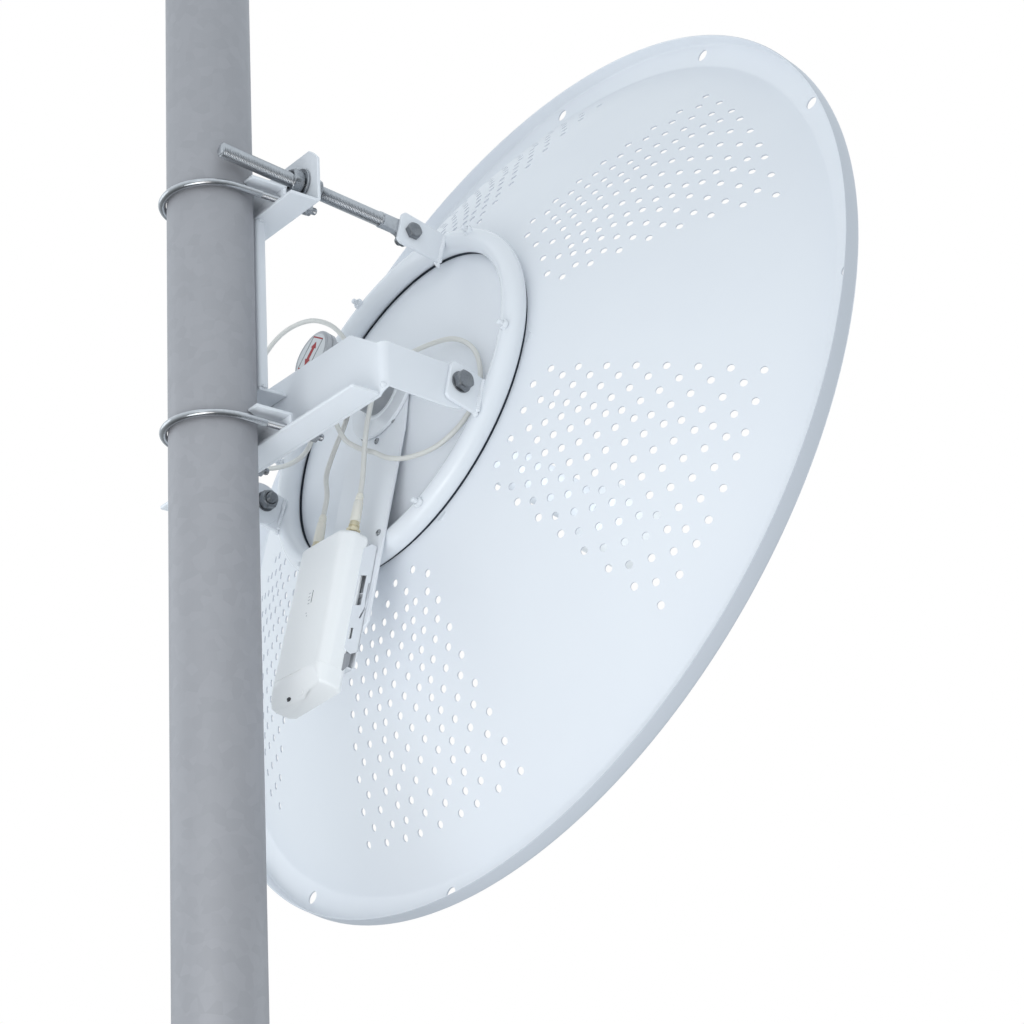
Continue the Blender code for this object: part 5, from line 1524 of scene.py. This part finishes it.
port = ring_points(1.0, 24)[:, ::-1] * PORT_HALF
socket_dark = printed("socket_dark", "#26282b", roughness=0.6, metal=0.0)
make_piece("radio_lead_port", [skin(chin_rows(port, *PORT_AT, CHIN_SUNK, PORT_LIFT))],
           socket_dark, "dish")
make_piece("radio_cover_tab", [skin(chin_rows(rounded(TAB), *TAB_AT, CHIN_SUNK, TAB_LIFT))],
           asa_plastic, "dish")


# Signal marks. A fine line and six small bars, printed on the radio's rear face in grey and
# silver. The rest of the face is bare.
MARK_LIFT = 0.00010
MARK_SUNK = 0.0002
LINE_AT, LINE_SIZE = (0.0046, -0.2672), (0.0003, 0.0072)
LONG_BAR, SHORT_BAR = (0.0016, 0.0005), (0.0009, 0.0005)       # half sizes
LONG_BARS_AT = [(-0.0010 + 0.0004 * k, -0.2620 - 0.0040 * k) for k in range(4)]
SHORT_BARS_AT = [(-0.0004 + 0.0016 * k, -0.2850 - 0.0035 * k) for k in range(2)]


def mark_rows(x, v, wide, tall):
    """A thin printed bar on the housing's rear face."""
    rows = [[(a, n, b) for a, b in bar_outline(x, v, wide, tall)]
            for n in (rear_n + MARK_SUNK, rear_n - MARK_LIFT)]
    return from_dish(np.array(rows))


make_piece("signal_line", [skin(mark_rows(*LINE_AT, *LINE_SIZE))], dark, "dish")
bars = [skin(mark_rows(*at, *LONG_BAR)) for at in LONG_BARS_AT]
bars += [skin(mark_rows(*at, *SHORT_BAR)) for at in SHORT_BARS_AT]
make_piece("signal_bars", bars, foil, "dish")


# Connectors. Two brass coaxial plugs screwed on the radio's top sockets, each with a long
# tapered boot of translucent rubber over the crimp.
def brass():
    """Nickel-flashed brass, hexagon and knurl: a pale straw metal with a soft sheen."""
    look, tree, shader = new_material("pale_brass")
    at = add_node(tree, "ShaderNodeTexCoord").outputs["Object"]
    grain = add_node(tree, "ShaderNodeTexNoise", {"Vector": at, "Scale": 1 / GRAIN})
    dull = add_node(tree, "ShaderNodeMapRange", {"Value": grain.outputs["Fac"],
                                                 "To Min": 0.28, "To Max": 0.42})
    join(tree, shader, {"Base Color": linear("#e4d9bb"), "Metallic": 0.8,
                        "Roughness": dull.outputs[0]})
    return look


def boot_rubber():
    """Milky thermoplastic rubber: light passes a millimetre or two into it."""
    look = moulded_plastic("milky_rubber", "#ece9df", roughness=0.42, grain=0.0012, depth=0.10)
    shader = look.node_tree.nodes["Principled BSDF"]
    join(look.node_tree, shader, {"Subsurface Weight": 0.25,
                                  "Subsurface Radius": (0.003, 0.0028, 0.0024),
                                  "Subsurface Scale": 1.0})
    return look


pale_brass = brass()
rubber = boot_rubber()
for name in ("near", "far"):
    low, high = dish_span(name + "_connector")
    x, n = (low[0] + high[0]) / 2, (low[1] + high[1]) / 2
    base_v, top = low[2], high[2]
    plug = turned_rows([(0.0062, base_v), (0.0070, base_v + 0.0004, 0.0125),
                        (0.0072, base_v + 0.0036, 0.0125), (0.0060, base_v + 0.0042),
                        (0.0050, base_v + 0.0044), (0.0050, base_v + 0.0062),
                        (0.0056, base_v + 0.0064), (0.0056, base_v + 0.0088),
                        (0.0050, base_v + 0.0092), (0.0050, top)], 36) + (x, n, 0)
    make_piece(name + "_coax_plug", [skin(from_dish(plug))], pale_brass, "dish",
               [name + "_connector"])
    low, high = dish_span(name + "_cable_boot")
    v0, v1 = low[2], high[2]
    boot = turned_rows([(0.0050, v0), (0.0055, v0 + 0.0006), (0.0054, v0 + 0.0060),
                        (0.0048, v0 + 0.0235), (0.0045, v0 + 0.0242), (0.0036, v0 + 0.0246),
                        (0.0035, v0 + 0.0264), (0.0041, v0 + 0.0266), (0.0041, v0 + 0.0280),
                        (0.0035, v0 + 0.0282), (0.0035, v0 + 0.0296), (0.0040, v0 + 0.0298),
                        (0.0039, v0 + 0.0312), (0.0034, v0 + 0.0314), (0.0034, v1 - 0.0006),
                        (0.0030, v1)], 36) + (x, n, 0)
    make_piece(name + "_rubber_boot", [skin(from_dish(boot))], rubber, "dish",
               [name + "_cable_boot"])


# Jumper leads. Two 5.4 mm coaxial leads with an off-white jacket, stiff enough to hold the
# loops that they were bent to. Each runs from its plug behind the ring and back to the feed,
# where it enters a brass socket.
LEAD_RADIUS = 0.0027
FEED_PORTS = {"far": math.radians(-135), "near": math.radians(-172)}   # bearings from the top
FEED_PORT_N = -0.0295
PORT_ROOT = 0.0255 + SEAT
PORT_TIP = PORT_ROOT + 0.012
PATH_STEPS = 8


def port_point(name, reach):
    """A point out along one of the feed's ports."""
    return tuple(on_dish(FEED_PORTS[name], reach, FEED_PORT_N))


FAR_LEAD = [(-0.0325, -0.0029, -0.1488), (-0.0335, -0.0029, -0.125), (-0.044, -0.0025, -0.095),
            (-0.045, 0.0015, -0.060), (-0.037, 0.0035, -0.025), (-0.036, 0.0035, 0.015),
            (-0.045, 0.0005, 0.060), (-0.076, -0.0075, 0.106), (-0.118, -0.0125, 0.1365),
            (-0.160, -0.0140, 0.1500), (-0.197, -0.0140, 0.1490), (-0.226, -0.0130, 0.130),
            (-0.240, -0.0120, 0.093), (-0.235, -0.0110, 0.045), (-0.210, -0.0105, -0.003),
            (-0.170, -0.0110, -0.036), (-0.130, -0.0120, -0.053), (-0.096, -0.0140, -0.061),
            (-0.066, -0.0195, -0.063), (-0.045, -0.0265, -0.052),
            port_point("far", PORT_TIP + 0.010), port_point("far", PORT_TIP + SEAT)]
NEAR_LEAD = [(0.0325, -0.0029, -0.1488), (0.0325, -0.0045, -0.125), (0.033, -0.0090, -0.095),
             (0.032, -0.0110, -0.060), (0.036, -0.0105, -0.022), (0.050, 0.0005, 0.010),
             (0.078, 0.0165, 0.027), (0.112, 0.0265, 0.024), (0.142, 0.0335, -0.002),
             (0.154, 0.0375, -0.042), (0.144, 0.0355, -0.082), (0.114, 0.0285, -0.107),
             (0.080, 0.0185, -0.113), (0.054, 0.0095, -0.108), (0.031, 0.0045, -0.094),
             (0.010, -0.0015, -0.083), (-0.004, -0.0135, -0.071),
             port_point("near", PORT_TIP + 0.012), port_point("near", PORT_TIP + SEAT)]


def smooth_path(route, steps):
    """A Catmull-Rom curve through the listed points of a lead's route."""
    knots = np.array(route, float)
    knots = np.concatenate([[2 * knots[0] - knots[1]], knots, [2 * knots[-1] - knots[-2]]])
    a, b, c, d = (knots[i:len(knots) - 3 + i, None] for i in range(4))
    t = np.linspace(0, 1, steps, endpoint=False)[None, :, None]
    path = 0.5 * (2 * b + (c - a) * t + (2 * a - 5 * b + 4 * c - d) * t ** 2
                  + (3 * b - a - 3 * c + d) * t ** 3)
    return np.concatenate([path.reshape(-1, 3), knots[-2:-1]])


jacket = moulded_plastic("lead_jacket_pvc", "#e2e1dc", roughness=0.42, grain=0.0020,
                         depth=0.12)
for name, route in (("far", FAR_LEAD), ("near", NEAR_LEAD)):
    path = from_dish(smooth_path(route, PATH_STEPS))
    curve = bpy.data.curves.new(name + "_jumper_lead", "CURVE")
    curve.dimensions = "3D"
    curve.bevel_depth = LEAD_RADIUS
    curve.bevel_resolution = 4
    curve.use_fill_caps = True
    curve.render_resolution_u = 0
    spline = curve.splines.new("POLY")
    spline.points.add(len(path) - 1)
    spline.points.foreach_set("co", np.column_stack([path, np.ones(len(path))]).ravel())
    curve.materials.append(jacket)
    lead = put_in_scene(name + "_jumper_lead", curve)
    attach(lead, "dish")
    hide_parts(name + "_cable")
    bearing = FEED_PORTS[name]
    port = turned_rows([(0.0050, 0.0), (0.0055, 0.0004), (0.0055, 0.0038), (0.0046, 0.0042),
                        (0.0046, 0.0058), (0.0052, 0.0060, 0.0098), (0.0052, 0.0100, 0.0098),
                        (0.0045, 0.0104), (0.0045, PORT_TIP - PORT_ROOT - SEAT)], 36)
    basis = np.array([(math.cos(bearing), 0.0, -math.sin(bearing)), (0.0, 1.0, 0.0),
                      (math.sin(bearing), 0.0, math.cos(bearing))])
    port = port @ basis + np.array(port_point(name, PORT_ROOT))
    make_piece(name + "_feed_socket", [skin(from_dish(port))], pale_brass, "dish",
               [name + "_feed_port"])
